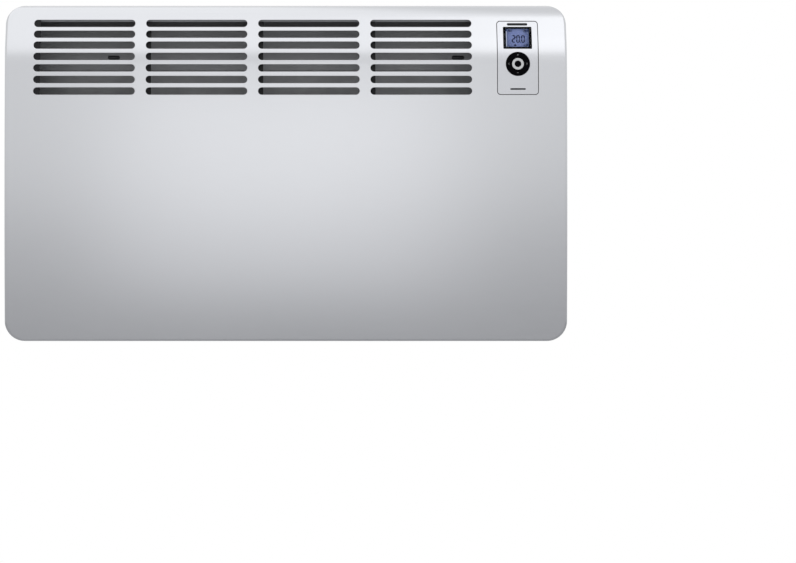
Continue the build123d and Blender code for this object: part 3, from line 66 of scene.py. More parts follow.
# ---- sizes of the front, in millimetres and degrees ----
WIDTH, HEIGHT, DEPTH, CORNER_R = 784.0, 470.0, 130.0, 28.0
SIDE, TOP, BOTTOM = WIDTH / 2, HEIGHT / 2, -HEIGHT / 2
SHEET_T = 1.2
BOW_R, BOW_Z, BOW_TILT = 4000.0, -35.0, 2.65
BEND_R, BEND_TILT = 150.0, 18.0
ROLL_R, LIP = 27.0, 15.0
RIM = 15.0
FOLD_R, LOW_FOLD_R = 4.0, 3.2
FOLD_FADE = 24.0  # the outline's fold dies out over this height below the top
SCREW_X, SCREW_BACK, SCREW_HOLE_R = 356.0, 7.0, 3.6
SLOT_W, SLOT_H = 141.2, 10.0
SLOT_XS = (-281.2, -124.6, 32.0, 188.6)
SLOT_ROWS, SLOT_PITCH, SLOT_LOW_Z = 7, 16.15, 113.3
BEZEL_X, BEZEL_Z, BEZEL_W, BEZEL_H, BEZEL_R, BEZEL_GAP = 323.2, 160.0, 56.4, 102.4, 4.0, 0.6
SLOT_FOLD, BEZEL_FOLD, HOLE_HEM = 0.45, 0.25, 1.0
DISPLAY_Z, DISPLAY_TILT, LCD_DEPTH = 188.0, 16.3, 2.6
KEY_Z, KEY_TILT, KEY_PROUD = 151.3, 5.0, 0.6

# ---- how close together the cover's points lie ----
EDGE_STEP, LIP_POINTS = 9, 40
TOP_CORNER_TURNS, LOW_CORNER_TURNS, HOLE_TURNS = 40, 14, 10
FOLD_TURNS, HOLE_FOLD_TURNS = 6, 4
SCREW_PATCH, SCREW_HOLE_POINTS = 7, 32
FIELD_COLUMNS, FIELD_PITCH, FIELD_INSET, FIELD_LOW, FIELD_HIGH = 44, 17.6, 9, 6.0, 2
EDGE_ROOM, HOLE_ROOM = 6, 2.2
NEAR, MERGE = 0.01, 1e-4


# ---- side profile of the front ----
def on_arc(centre, radius, tilt):
    a = math.radians(tilt)
    return (centre[0] - radius * math.cos(a), centre[1] + radius * math.sin(a))


BOW_C = (BOW_R - DEPTH, BOW_Z)
BOW_END = on_arc(BOW_C, BOW_R, BOW_TILT)
BEND_C = (
    BOW_END[0] + BEND_R * math.cos(math.radians(BOW_TILT)),
    BOW_END[1] - BEND_R * math.sin(math.radians(BOW_TILT)),
)
BEND_END = on_arc(BEND_C, BEND_R, BEND_TILT)
ROLL_Z = TOP - ROLL_R
ROLL_START_Z = ROLL_Z + ROLL_R * math.sin(math.radians(BEND_TILT))
ROLL_START_Y = BEND_END[0] + (ROLL_START_Z - BEND_END[1]) * math.tan(math.radians(BEND_TILT))
ROLL_Y = ROLL_START_Y + ROLL_R * math.cos(math.radians(BEND_TILT))
LIP_Y = ROLL_Y + LIP
LOW_TILT = math.degrees(math.asin((BOTTOM - BOW_Z) / BOW_R))
BOW_L = BOW_R * math.radians(BOW_TILT - LOW_TILT)
BEND_L = BEND_R * math.radians(BEND_TILT - BOW_TILT)
FLAT_L = (ROLL_START_Z - BEND_END[1]) / math.cos(math.radians(BEND_TILT))
ROLL_L = ROLL_R * math.radians(90 - BEND_TILT)
ROLL_S = BOW_L + BEND_L + FLAT_L
LIP_S = ROLL_S + ROLL_L
END_S = LIP_S + LIP

# step between rows of points up to each length: closer together where the sheet bends
ROW_STEPS = ((BOW_L - 10, 10), (ROLL_S - 4, 3.2), (LIP_S, 1.9), (END_S, 5))


def at_length(s):
    """Place (y, z) and lean in degrees after going up the sheet by s from its bottom edge."""
    if s <= BOW_L:
        tilt = LOW_TILT + math.degrees(s / BOW_R)
        return (*on_arc(BOW_C, BOW_R, tilt), tilt)
    if s <= BOW_L + BEND_L:
        tilt = BOW_TILT + math.degrees((s - BOW_L) / BEND_R)
        return (*on_arc(BEND_C, BEND_R, tilt), tilt)
    if s <= ROLL_S:
        rest = (s - BOW_L - BEND_L) * math.cos(math.radians(BEND_TILT))
        return (BEND_END[0] + rest * math.tan(math.radians(BEND_TILT)), BEND_END[1] + rest, BEND_TILT)
    if s <= LIP_S:
        tilt = BEND_TILT + math.degrees((s - ROLL_S) / ROLL_R)
        return (*on_arc((ROLL_Y, ROLL_Z), ROLL_R, tilt), tilt)
    return (ROLL_Y + s - LIP_S, TOP, 90.0)


def at_height(z):
    """Length along the sheet at a height."""
    if z <= BOW_END[1]:
        return BOW_R * (math.asin((z - BOW_Z) / BOW_R) - math.radians(LOW_TILT))
    if z <= BEND_END[1]:
        return BOW_L + BEND_R * (math.asin((z - BEND_C[1]) / BEND_R) - math.radians(BOW_TILT))
    if z <= ROLL_START_Z:
        return BOW_L + BEND_L + (z - BEND_END[1]) / math.cos(math.radians(BEND_TILT))
    turn = math.asin(min(1.0, (z - ROLL_Z) / ROLL_R))
    return ROLL_S + ROLL_R * (turn - math.radians(BEND_TILT))


def outward(tilt):
    """Direction away from the front where it leans back by tilt."""
    a = math.radians(tilt)
    return Vector((0, -math.cos(a), math.sin(a)))


def skin(x, z):
    """Point on the sheet's outer face and its outward normal, at a place in the front view."""
    y, z, tilt = at_length(at_height(z))
    return Vector((x, y, z)), outward(tilt)


# ---- mesh building ----
class Shell:
    """Faces on the outer side of a sheet, given with exact normals, then closed with its inner side."""

    def __init__(self, thickness):
        self.thickness = thickness
        self.points, self.normals, self.faces, self.index = [], [], [], {}

    def vertex(self, point, normal):
        """Number of the point. The same place with nearly the same normal is one point."""
        key = (*(round(c, 3) for c in point), *(round(c, 1) for c in normal))
        if key not in self.index:
            self.index[key] = len(self.points)
            self.points.append(Vector(point))
            self.normals.append(Vector(normal).normalized())
        return self.index[key]

    def face(self, corners):
        """Adds a face that looks the way of its normals."""
        loop = list(dict.fromkeys(corners))
        if len(loop) < 3:
            return
        normal = sum((self.normals[i] for i in loop), Vector())
        a, b, c = (self.points[i] for i in loop[:3])
        if (b - a).cross(c - b).dot(normal) < 0:
            loop.reverse()
        self.faces.append(loop)

    def strips(self, rings, closed):
        count = len(rings[0])
        for low, high in zip(rings, rings[1:]):
            for i in range(count if closed else count - 1):
                j = (i + 1) % count
                self.face((low[i], low[j], high[j], high[i]))

    def close(self, name, hems):
        """Adds the inner side and the hems, and returns the finished object.

        Each hem is an open ring, whether it is closed, and its facing: a direction, or a function of the point.
        """
        count = len(self.points)
        inner = [p - n * self.thickness for p, n in zip(self.points, self.normals)]
        points = self.points + inner
        normals = self.normals + [-n for n in self.normals]
        faces = self.faces + [[i + count for i in reversed(f)] for f in self.faces]
        for ring, closed, way in hems:
            for i in range(len(ring) if closed else len(ring) - 1):
                a, b = ring[i], ring[(i + 1) % len(ring)]
                if a == b:
                    continue
                base = len(points)
                corners = [self.points[a], self.points[b], inner[b], inner[a]]
                points += corners
                facing = [Vector(way(c) if callable(way) else way) for c in corners]
                normals += facing
                loop = [base, base + 1, base + 2, base + 3]
                if (corners[1] - corners[0]).cross(corners[2] - corners[1]).dot(facing[0]) < 0:
                    loop.reverse()
                faces.append(loop)
        return make_mesh(name, points, faces, normals)


def make_mesh(name, points, faces, normals=None):
    mesh = bpy.data.meshes.new(name)
    mesh.from_pydata([tuple(c * MM for c in p) for p in points], [], faces)
    mesh.update()
    if normals is not None:
        mesh.polygons.foreach_set("use_smooth", [True] * len(mesh.polygons))
        mesh.normals_split_custom_set_from_vertices([tuple(n) for n in normals])
    piece = bpy.data.objects.new(name, mesh)
    bpy.context.scene.collection.objects.link(piece)
    return piece


def circle(x, y, radius, count=20):
    return [
        (x + radius * math.cos(2 * math.pi * i / count), y + radius * math.sin(2 * math.pi * i / count))
        for i in range(count)
    ]


def arc_points(centre, radius, start, end, count):
    """Points of an arc in the front view, with the direction away from its centre."""
    found = []
    for i in range(count + 1):
        a = math.radians(start + (end - start) * i / count)
        away = (math.cos(a), math.sin(a))
        found.append((centre[0] + radius * away[0], centre[1] + radius * away[1], *away))
    return found


def straight(a, b, away, step):
    """Points between a and b, both left out, with the direction away from the middle."""
    count = max(1, round(math.dist(a, b) / step))
    return [
        (a[0] + (b[0] - a[0]) * i / count, a[1] + (b[1] - a[1]) * i / count, *away)
        for i in range(1, count)
    ]


def rounded_loop(cx, cz, width, height, radius, step, turns):
    """Closed loop round a rounded rectangle, with outward directions."""
    hw, hh = width / 2 - radius, height / 2 - radius
    loop = []
    corners = ((hw, hh, 0), (-hw, hh, 90), (-hw, -hh, 180), (hw, -hh, 270))
    for i, (dx, dz, start) in enumerate(corners):
        arc = arc_points((cx + dx, cz + dz), radius, start, start + 90, turns)
        loop += arc
        nx, nz, _ = corners[(i + 1) % 4]
        a = math.radians(start + 90)
        away = (round(math.cos(a)), round(math.sin(a)))
        first = (cx + nx + radius * away[0], cz + nz + radius * away[1])
        loop += straight((arc[-1][0], arc[-1][1]), first, away, step)
    found = []
    for p in loop:
        if not found or math.dist(p[:2], found[-1][:2]) > MERGE:
            found.append(p)
    return found


# ---- front cover ----
Hole = namedtuple("Hole", "x z half_w half_h r fold")
BACK = (0, 1, 0)


def in_hole(x, z, hole, grow):
    """Whether a place in the front view lies in a rounded hole made larger by grow all round."""
    dx, dz = abs(x - hole.x) - (hole.half_w - hole.r), abs(z - hole.z) - (hole.half_h - hole.r)
    reach = hole.r + grow
    return math.hypot(max(dx, 0), max(dz, 0)) < reach if dx > 0 and dz > 0 else dx < reach and dz < reach


def in_loop(x, y, loop):
    """Whether a place lies inside a closed loop of (x, y) places."""
    inside = False
    for (x1, y1), (x2, y2) in zip(loop, loop[1:] + loop[:1]):
        if (y1 > y) != (y2 > y) and x < (x2 - x1) * (y - y1) / (y2 - y1) + x1:
            inside = not inside
    return inside


def folded(shell, loop, turns, side, radius_at):
    """Rings of a fold that turns the sheet back at a loop: side is -1 with the sheet inside the loop, else 1."""
    rings = []
    for step in range(turns + 1):
        a = math.pi / 2 * step / turns
        ring = []
        for x, z, ax, az in loop:
            radius = radius_at(z, az)
            off = side * radius * (1 - math.sin(a))
            point, normal = skin(x + ax * off, z + az * off)
            point.y += radius * (1 - math.cos(a))
            ring.append(shell.vertex(point, normal * math.cos(a) - Vector((ax, 0, az)) * (side * math.sin(a))))
        rings.append(ring)
    return rings


def fold_hole(shell, hole):
    """Folds the sheet inward round a hole. Returns the ring on the sheet and the ring at the hem."""
    loop = rounded_loop(hole.x, hole.z, 2 * hole.half_w, 2 * hole.half_h, hole.r, EDGE_STEP, HOLE_TURNS)
    rings = folded(shell, loop, HOLE_FOLD_TURNS, 1, lambda z, az: hole.fold)
    hem = []
    for x, z, ax, az in loop:
        point, _ = skin(x, z)
        point.y += hole.fold + HOLE_HEM
        hem.append(shell.vertex(point, (-ax, 0, -az)))
    shell.strips(rings + [hem], closed=True)
    return rings[0], hem


def outline_loop():
    """Outline in the front view, from the top right corner down, along the bottom and up to the top left."""
    right = arc_points((SIDE - CORNER_R, TOP - CORNER_R), CORNER_R, 90, 0, TOP_CORNER_TURNS)
    right += straight((SIDE, TOP - CORNER_R), (SIDE, BOTTOM + CORNER_R), (1, 0), EDGE_STEP)
    right += arc_points((SIDE - CORNER_R, BOTTOM + CORNER_R), CORNER_R, 0, -90, LOW_CORNER_TURNS)
    base = straight((SIDE - CORNER_R, BOTTOM), (-SIDE + CORNER_R, BOTTOM), (0, -1), EDGE_STEP)
    return right + base + [(-x, z, -ax, az) for x, z, ax, az in reversed(right)]


def outline_fold(z, az):
    """Radius of the outline's fold, smaller along the bottom and none at the top."""
    return (FOLD_R + (LOW_FOLD_R - FOLD_R) * max(0.0, -az)) * min(1.0, max(0.0, (TOP - z) / FOLD_FADE))


def fold_outline(shell):
    """Folds the sheet back at its outline. Returns the ring on the sheet, the fold's end and the rim's hem."""
    loop = outline_loop()
    rings = folded(shell, loop, FOLD_TURNS, -1, outline_fold)
    hem = []
    for x, z, ax, az in loop:
        point, _ = skin(x, z)
        if z > TOP - RIM:
            point.y = LIP_Y
        elif z > ROLL_Z + (ROLL_R - RIM) * math.sin(math.radians(BEND_TILT)):
            point.y = ROLL_Y - math.sqrt((ROLL_R - RIM) ** 2 - (z - ROLL_Z) ** 2)
        else:
            point.y += RIM / math.cos(math.radians(at_length(at_height(z))[2]))
        hem.append(shell.vertex(point, (ax, 0, az)))
    shell.strips(rings, closed=False)
    return rings[0], rings[-1], hem


def build_rim(shell, edge, hem):
    """Rim behind the fold, with a hole for each of the two screws from below. Returns the holes' hems."""
    screws = [(side * SCREW_X, skin(0, BOTTOM)[0].y + SCREW_BACK) for side in (-1, 1)]
    beside = [[], []]
    for i in range(len(edge) - 1):
        first, second = shell.points[edge[i]], shell.points[edge[i + 1]]
        at_base = first.z < BOTTOM + NEAR
        near = [at_base and abs((first.x + second.x) / 2 - sx) < SCREW_PATCH for sx, _ in screws]
        if any(near):
            beside[near.index(True)].append(i)
        else:
            shell.face((edge[i], edge[i + 1], hem[i + 1], hem[i]))

    hems = []
    for (sx, sy), part in zip(screws, beside):
        span = range(part[0], part[-1] + 2)
        border = [edge[i] for i in span] + [hem[i] for i in reversed(span)]
        places = circle(sx, sy, SCREW_HOLE_R, SCREW_HOLE_POINTS)
        hole = [shell.vertex((x, y, BOTTOM), (0, 0, -1)) for x, y in places]
        flat_points = [Vector(shell.points[i][:2]) for i in border + hole]
        a, b = len(border), len(hole)
        sides = [(i, (i + 1) % a) for i in range(a)] + [(a + i, a + (i + 1) % b) for i in range(b)]
        _, _, triangles, origin, _, _ = delaunay_2d_cdt(flat_points, sides, [], 1, MERGE)
        for triangle in triangles:
            corners = [origin[i][0] for i in triangle]
            if not all(i >= a for i in corners):
                shell.face([(border + hole)[i] for i in corners])
        hems.append((hole, True, lambda p, sx=sx, sy=sy: (sx - p.x, sy - p.y, 0)))
    return hems


def unrolled(point):
    """Place of a point of the sheet, as x and the length up the sheet."""
    if point.z > TOP - NEAR and point.y > ROLL_Y - NEAR:
        return Vector((point.x, LIP_S + point.y - ROLL_Y))
    return Vector((point.x, at_height(point.z)))


def field_points(holes):
    """Places (x, length) inside the sheet's field, in staggered rows and clear of its edges."""
    found = []
    s, row = FIELD_LOW, 0
    while s < END_S - FIELD_HIGH:
        z = at_length(s)[1]
        in_corner = max(0.0, abs(z) - (TOP - CORNER_R))
        edge = SIDE - CORNER_R + math.sqrt(max(0.0, CORNER_R**2 - in_corner**2)) - EDGE_ROOM
        for i in range(FIELD_COLUMNS):
            x = -SIDE + FIELD_INSET + (i + 0.5 * (row % 2)) * FIELD_PITCH
            if abs(x) <= edge and not any(in_hole(x, z, hole, HOLE_ROOM) for hole in holes):
                found.append((x, s))
        s += next(step for end, step in ROW_STEPS if s < end)
        row += 1
    return found


def fill_field(shell, loops, holes):
    """Faces of the sheet between its outer loop, the first one, and the loops round its holes."""
    indices, coords, sides = [], [], []
    for loop in loops:
        unique = list(dict.fromkeys(loop))
        start = len(coords)
        indices += unique
        coords += [unrolled(shell.points[i]) for i in unique]
        sides += [(start + i, start + (i + 1) % len(unique)) for i in range(len(unique))]
    outer = [tuple(c) for c in coords[: len(dict.fromkeys(loops[0]))]]
    for x, s in field_points(holes):
        y, z, tilt = at_length(s)
        indices.append(shell.vertex((x, y, z), outward(tilt)))
        coords.append(Vector((x, s)))
    places, _, triangles, origin, _, _ = delaunay_2d_cdt(coords, sides, [], 0, MERGE)
    for triangle in triangles:
        x, s = (sum(places[i][axis] for i in triangle) / 3 for axis in (0, 1))
        z = at_length(s)[1]
        if in_loop(x, s, outer) and not any(in_hole(x, z, hole, hole.fold) for hole in holes):
            shell.face([indices[origin[i][0]] for i in triangle])


def build_cover():
    shell = Shell(SHEET_T)
    sheet_edge, fold_end, rim_hem = fold_outline(shell)
    hems = [(rim_hem, False, BACK)] + build_rim(shell, fold_end, rim_hem)
    lip_end = [
        shell.vertex((-SIDE + CORNER_R + i * (WIDTH - 2 * CORNER_R) / LIP_POINTS, LIP_Y, TOP), (0, 0, 1))
        for i in range(LIP_POINTS + 1)
    ]
    hems.append((lip_end, False, BACK))
    loops = [sheet_edge + lip_end]

    slot_zs = [at_length(at_height(SLOT_LOW_Z) + row * SLOT_PITCH)[1] for row in range(SLOT_ROWS)]
    holes = [Hole(x, z, SLOT_W / 2, SLOT_H / 2, SLOT_H / 2, SLOT_FOLD) for x in SLOT_XS for z in slot_zs]
    bezel_half_w, bezel_half_h = BEZEL_W / 2 + BEZEL_GAP, BEZEL_H / 2 + BEZEL_GAP
    holes.append(Hole(BEZEL_X, BEZEL_Z, bezel_half_w, bezel_half_h, BEZEL_R + BEZEL_GAP, BEZEL_FOLD))
    for hole in holes:
        ring, hem = fold_hole(shell, hole)
        loops.append(ring)
        hems.append((hem, True, BACK))
    fill_field(shell, loops, holes)
    return shell.close("front_cover_sheet", hems)


cover = build_cover()
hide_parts("front_cover")
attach(cover, "root")


# ---- prints and trim ----
PRINT_PROUD = PRINT_SUNK = 0.03
SEGMENT_GAP = 0.12
FIGURE_Y, FIGURE_W, FIGURE_H, FIGURE_THICK = -0.9, 5.5, 11.6, 1.9
FIGURES = ((-5.2, "abged"), (1.0, "abcdef"), (7.9, "abcdef"))
MARK_AT, MARK_LONG, MARK_THICK = 12.5, 2.6, 0.42
CHEVRON_BACK, CHEVRON_TIP, CHEVRON_RISE = 11.6, 13.4, 1.4
STUB_OFF, STUB_LONG = 0.86, 1.3
# the seal's section, a black ring in the gap round the bezel that also paints the shadow line in that gap:
# growth of its loop beyond the bezel and depth behind the front
SEAL_SECTION = (
    (-0.2, -0.07), (0.82, -0.07), (0.82, -0.02), (0.57, 0.1),
    (0.57, 1.4), (0.03, 1.4), (0.03, 0.1), (-0.2, -0.02),
)
SEAL_STEP, SEAL_TURNS = 2.5, 10
# a painted shadow strip's section: distance right of the slots' left ends and depth behind the front
SHADOW_STRIP_SECTION = (
    (-12, 1.25), (-6, 1.25), (-6, 5.2), (6.2, 5.2), (7, 5.6),
    (6.2, 6.0), (-6.8, 6.0), (-6.8, 2.05), (-12, 2.05),
)
SHADOW_STRIP_LOW_Z, SHADOW_STRIP_HIGH_Z, SHADOW_STRIP_LEVELS = 104.0, 213.0, 40


class Face:
    """Flat place on the front: x to the right and y up along it, in millimetres from its middle."""

    def __init__(self, x, z, tilt, depth):
        lean = math.radians(tilt)
        self.up = Vector((0, math.sin(lean), math.cos(lean)))
        self.out = outward(tilt)
        self.origin = skin(x, z)[0] - self.out * depth

    def at(self, x, y, lift):
        return self.origin + Vector((x, 0, 0)) + self.up * y + self.out * lift


def print_on(name, face, shapes):
    """Thin raised print: each shape is an outline, or an outline and its hole with as many points."""
    points, faces = [], []
    for shape in shapes:
        rings = shape if isinstance(shape[0][0], tuple) else [shape]
        base, n = len(points), len(rings[0])
        for ring in rings:
            for lift in (PRINT_PROUD, -PRINT_SUNK):
                points += [face.at(x, y, lift) for x, y in ring]
        for k in range(len(rings)):
            top, low = base + 2 * k * n, base + (2 * k + 1) * n
            for i in range(n):
                j = (i + 1) % n
                side = [top + i, low + i, low + j, top + j]
                faces.append(side if k == 0 else side[::-1])
        if len(rings) == 1:
            faces += [list(range(base, base + n)), list(range(base + 2 * n - 1, base + n - 1, -1))]
        else:
            for i in range(n):
                j = (i + 1) % n
                faces.append([base + i, base + j, base + 2 * n + j, base + 2 * n + i])
                faces.append([base + 3 * n + i, base + 3 * n + j, base + n + j, base + n + i])
    return make_mesh(name, points, faces)


def bar(x, y, length, thick, upright):
    """Display segment with pointed ends."""
    h, t = length / 2, thick / 2
    shape = [(-h, 0), (-h + t, -t), (h - t, -t), (h, 0), (h - t, t), (-h + t, t)]
    return [(x - v, y + u) if upright else (x + u, y + v) for u, v in shape]


def block(x, y, width, height):
    w, h = width / 2, height / 2
    return [(x - w, y - h), (x + w, y - h), (x + w, y + h), (x - w, y + h)]


def figure(x, lit):
    """One seven-segment figure, its lit segments named a to g clockwise from the top, g in the middle."""
    y, thick = FIGURE_Y, FIGURE_THICK
    w, h = (FIGURE_W - thick) / 2, (FIGURE_H - thick) / 2
    across, down = FIGURE_W - thick - SEGMENT_GAP, h - SEGMENT_GAP
    places = {
        "a": (x, y + h, across, thick, False),
        "b": (x + w, y + h / 2, down, thick, True),
        "c": (x + w, y - h / 2, down, thick, True),
        "d": (x, y - h, across, thick, False),
        "e": (x - w, y - h / 2, down, thick, True),
        "f": (x - w, y + h / 2, down, thick, True),
        "g": (x, y, across, thick, False),
    }
    return [bar(*places[segment]) for segment in lit]


def stroke(points, thick):
    """Outline of a bent line of even thickness."""
    left, right = [], []
    for i, (x, y) in enumerate(points):
        x0, y0 = points[max(i - 1, 0)]
        x1, y1 = points[min(i + 1, len(points) - 1)]
        n = math.hypot(x1 - x0, y1 - y0)
        nx, ny = -(y1 - y0) / n * thick / 2, (x1 - x0) / n * thick / 2
        left.append((x + nx, y + ny))
        right.append((x - nx, y - ny))
    return left + right[::-1]


def chevron(side):
    back, tip = side * CHEVRON_BACK, side * CHEVRON_TIP
    return stroke([(back, CHEVRON_RISE), (tip, 0.0), (back, -CHEVRON_RISE)], MARK_THICK)


lcd_face = Face(BEZEL_X, DISPLAY_Z, DISPLAY_TILT, LCD_DEPTH)
segments = [segment for x, lit in FIGURES for segment in figure(x, lit)]
decimal_point = block(4.45, -6.0, 1.2, 1.2)
digits = print_on("lcd_digits", lcd_face, [*segments, decimal_point])

# each block gives the place of its middle, its width and its height
battery = [[block(-10.2, 11.3, 5.0, 3.0), block(-10.2, 11.3, 3.8, 1.6)], block(-10.8, 11.3, 2.2, 1.1)]
clock = [[circle(10.8, 10.9, 2.1), circle(10.8, 10.9, 1.2)]]
clock += [block(10.8, 11.4, 0.7, 1.3), block(11.3, 10.9, 0.9, 0.7)]
dashes = [block(14.3, 11.6, 2.0, 0.9), block(14.3, 10.1, 2.0, 0.9)]
house = [(-4.7, -11.4), (-1.5, -11.4), (-1.5, -9.6), (-3.1, -8.0), (-4.7, -9.6)]
steps = [block(9.0 + 1.6 * i, -10.4 + 0.25 * i, 1.2, 1.2 + 0.5 * i) for i in range(4)]
symbols = print_on("lcd_symbols", lcd_face, [*battery, *clock, *dashes, house, *steps])
light_strip = print_on("lcd_light_strip", lcd_face, [block(-15.2, -0.8, 0.9, 22.6)])
for piece, finish in ((digits, "lcd"), (symbols, "lcd"), (light_strip, "backlight")):
    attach(piece, "root")

key_face = Face(BEZEL_X, KEY_Z, KEY_TILT, -KEY_PROUD)
plus = [block(0, MARK_AT, MARK_LONG, MARK_THICK)]
plus += [block(0, MARK_AT + off, MARK_THICK, STUB_LONG) for off in (STUB_OFF, -STUB_OFF)]
minus = block(0, -MARK_AT, MARK_LONG, MARK_THICK)
key_marks = print_on("key_ring_marks", key_face, [chevron(-1), chevron(1), *plus, minus])
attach(key_marks, "key_ring")


def tube(name, rings):
    """Closed tube of quads through loops of points, the last loop joined to the first."""
    count = len(rings[0])
    points = [p for ring in rings for p in ring]
    faces = []
    for k in range(len(rings)):
        a, b = k * count, (k + 1) % len(rings) * count
        faces += [[a + i, a + (i + 1) % count, b + (i + 1) % count, b + i] for i in range(count)]
    return make_mesh(name, points, faces)


def seal_and_shadow_ring(grow, depth):
    width, height = BEZEL_W + 2 * grow, BEZEL_H + 2 * grow
    ring = []
    for x, z, _, _ in rounded_loop(BEZEL_X, BEZEL_Z, width, height, BEZEL_R + grow, SEAL_STEP, SEAL_TURNS):
        place, _ = skin(x, z)
        place.y += depth
        ring.append(place)
    return ring


# black rubber seal filling the bezel's gap: partly trim, partly a painted shadow line where the gap lies in
# shade
seal_and_shadow = tube("bezel_seal_and_shadow", [seal_and_shadow_ring(grow, depth) for grow, depth in SEAL_SECTION])
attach(seal_and_shadow, "root")


def painted_shadow_strip(name, left):
    """Painted shadow: a black strip behind the left ends of a group of louvres, folded on to the sheet beside
    them, where the slots' ends lie in shade.
    """
    points, faces = [], []
    for k in range(SHADOW_STRIP_LEVELS + 1):
        place, normal = skin(0, SHADOW_STRIP_LOW_Z + (SHADOW_STRIP_HIGH_Z - SHADOW_STRIP_LOW_Z) * k / SHADOW_STRIP_LEVELS)
        points += [Vector((left + x, 0, 0)) + place - normal * depth for x, depth in SHADOW_STRIP_SECTION]
    n = len(SHADOW_STRIP_SECTION)
    for low in range(0, SHADOW_STRIP_LEVELS * n, n):
        high = low + n
        faces += [[low + i, low + (i + 1) % n, high + (i + 1) % n, high + i] for i in range(n)]
    faces += [list(range(n))[::-1], list(range(SHADOW_STRIP_LEVELS * n, SHADOW_STRIP_LEVELS * n + n))]
    return make_mesh(name, points, faces)


# behind the first group's left ends lies the black end cap, so it needs no painted shadow strip
shadow_strips = []
for k, x in enumerate(SLOT_XS[1:]):
    shadow_strip = painted_shadow_strip(f"painted_shadow_strip_{k + 1}", x - SLOT_W / 2)
    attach(shadow_strip, "root")
    shadow_strips.append(shadow_strip)


# ---- materials ----
NOISE_LOW, NOISE_HIGH = 0.3, 0.7
GRAIN_STRENGTH = 0.4


def feed(tree, node, inputs):
    """Sets inputs of a node, each to a value or to another node's output."""
    for socket, value in inputs.items():
        if isinstance(value, bpy.types.NodeSocket):
            tree.links.new(value, node.inputs[socket])
        else:
            node.inputs[socket].default_value = value


def add_node(tree, kind, inputs=None, **settings):
    node = tree.nodes.new("ShaderNode" + kind)
    for name, value in settings.items():
        setattr(node, name, value)
    feed(tree, node, inputs or {})
    return node


def calc(tree, operation, *values):
    return add_node(tree, "Math", dict(enumerate(values)), operation=operation).outputs[0]


def object_place(tree):
    return add_node(tree, "TexCoord").outputs["Object"]


def noise(tree, scale, detail=3.0, stretch=(1, 1, 1), roughness=0.5):
    place = add_node(tree, "Mapping", {"Vector": object_place(tree), "Scale": stretch}).outputs["Vector"]
    values = {"Vector": place, "Scale": scale, "Detail": detail, "Roughness": roughness}
    return add_node(tree, "TexNoise", values).outputs["Fac"]


def rescale(tree, value, low, high, to_low=0.0, to_high=1.0):
    """Maps the range from low to high on to another, by default 0 to 1."""
    values = {"Value": value, "From Min": low, "From Max": high, "To Min": to_low, "To Max": to_high}
    return add_node(tree, "MapRange", values).outputs["Result"]


def spread(tree, value, low, high):
    """Maps the usual range of a noise on to another range."""
    return rescale(tree, value, NOISE_LOW, NOISE_HIGH, low, high)


def ramp(tree, value, stops):
    """Colour from a value, through stops of a position and a colour in rising order."""
    node = add_node(tree, "ValToRGB", {"Fac": value})
    elements = node.color_ramp.elements
    for i, (position, colour) in enumerate((stops[0], stops[-1])):
        elements[i].position, elements[i].color = position, (*colour, 1)
    for position, colour in stops[1:-1]:
        elements.new(position).color = (*colour, 1)
    return node.outputs["Color"]


def tint(tree, value, low, high):
    return ramp(tree, value, ((NOISE_LOW, low), (NOISE_HIGH, high)))


def bump(tree, height, distance, strength=GRAIN_STRENGTH):
    values = {"Height": height, "Distance": distance, "Strength": strength}
    return add_node(tree, "Bump", values).outputs["Normal"]


def mix_shaders(tree, factor, first, second):
    return add_node(tree, "MixShader", {"Fac": factor, 1: first, 2: second}).outputs[0]


def new_material(name):
    material = bpy.data.materials.new(name)
    material.use_nodes = True
    tree = material.node_tree
    return material, tree, tree.nodes["Principled BSDF"]


def surface(name, colour, rough, metallic=0.0, specular=0.5, vary=0.06, rough_vary=0.05, patch=18, grain=900,
            grain_depth=3e-5, stretch=(1, 1, 1)):
    """Material with patchy colour and a fine grain of its own scale in roughness and height."""
    material, tree, shader = new_material(name)
    low = tuple(c * (1 - vary) for c in colour)
    high = tuple(min(1.0, c * (1 + vary)) for c in colour)
    fine = noise(tree, grain, 2.0, stretch)
    feed(tree, shader, {
        "Base Color": tint(tree, noise(tree, patch, 4.0), low, high),
        "Roughness": spread(tree, fine, rough - rough_vary, rough + rough_vary),
        "Metallic": metallic,
        "Specular IOR Level": specular,
        "Normal": bump(tree, fine, grain_depth),
    })
    return material


def brushed_cover():
    """Satin sheet with fine brushing along its length."""
    material, tree, shader = new_material("brushed_cover")
    streaks = noise(tree, scale=60, detail=6.0, stretch=(0.5, 1, 45), roughness=0.6)
    patches = noise(tree, scale=2.2, detail=2.0)
    shade = calc(tree, "MULTIPLY_ADD", streaks, 0.35, calc(tree, "MULTIPLY", patches, 0.65))
    feed(tree, shader, {
        "Base Color": tint(tree, shade, (0.565, 0.575, 0.60), (0.60, 0.61, 0.635)),
        "Roughness": spread(tree, streaks, 0.20, 0.25),
        "Metallic": 1.0,
        "Normal": bump(tree, streaks, distance=1e-5, strength=0.12),
    })
    return material


def display_glass():
    material, tree, shader = new_material("display_glass")
    feed(tree, shader, {
        "Base Color": (0.97, 0.98, 1.0, 1),
        "Roughness": spread(tree, noise(tree, 1800, 2.0), 0.03, 0.06),
        "Transmission Weight": 1.0,
        "IOR": 1.12,
    })
    return material


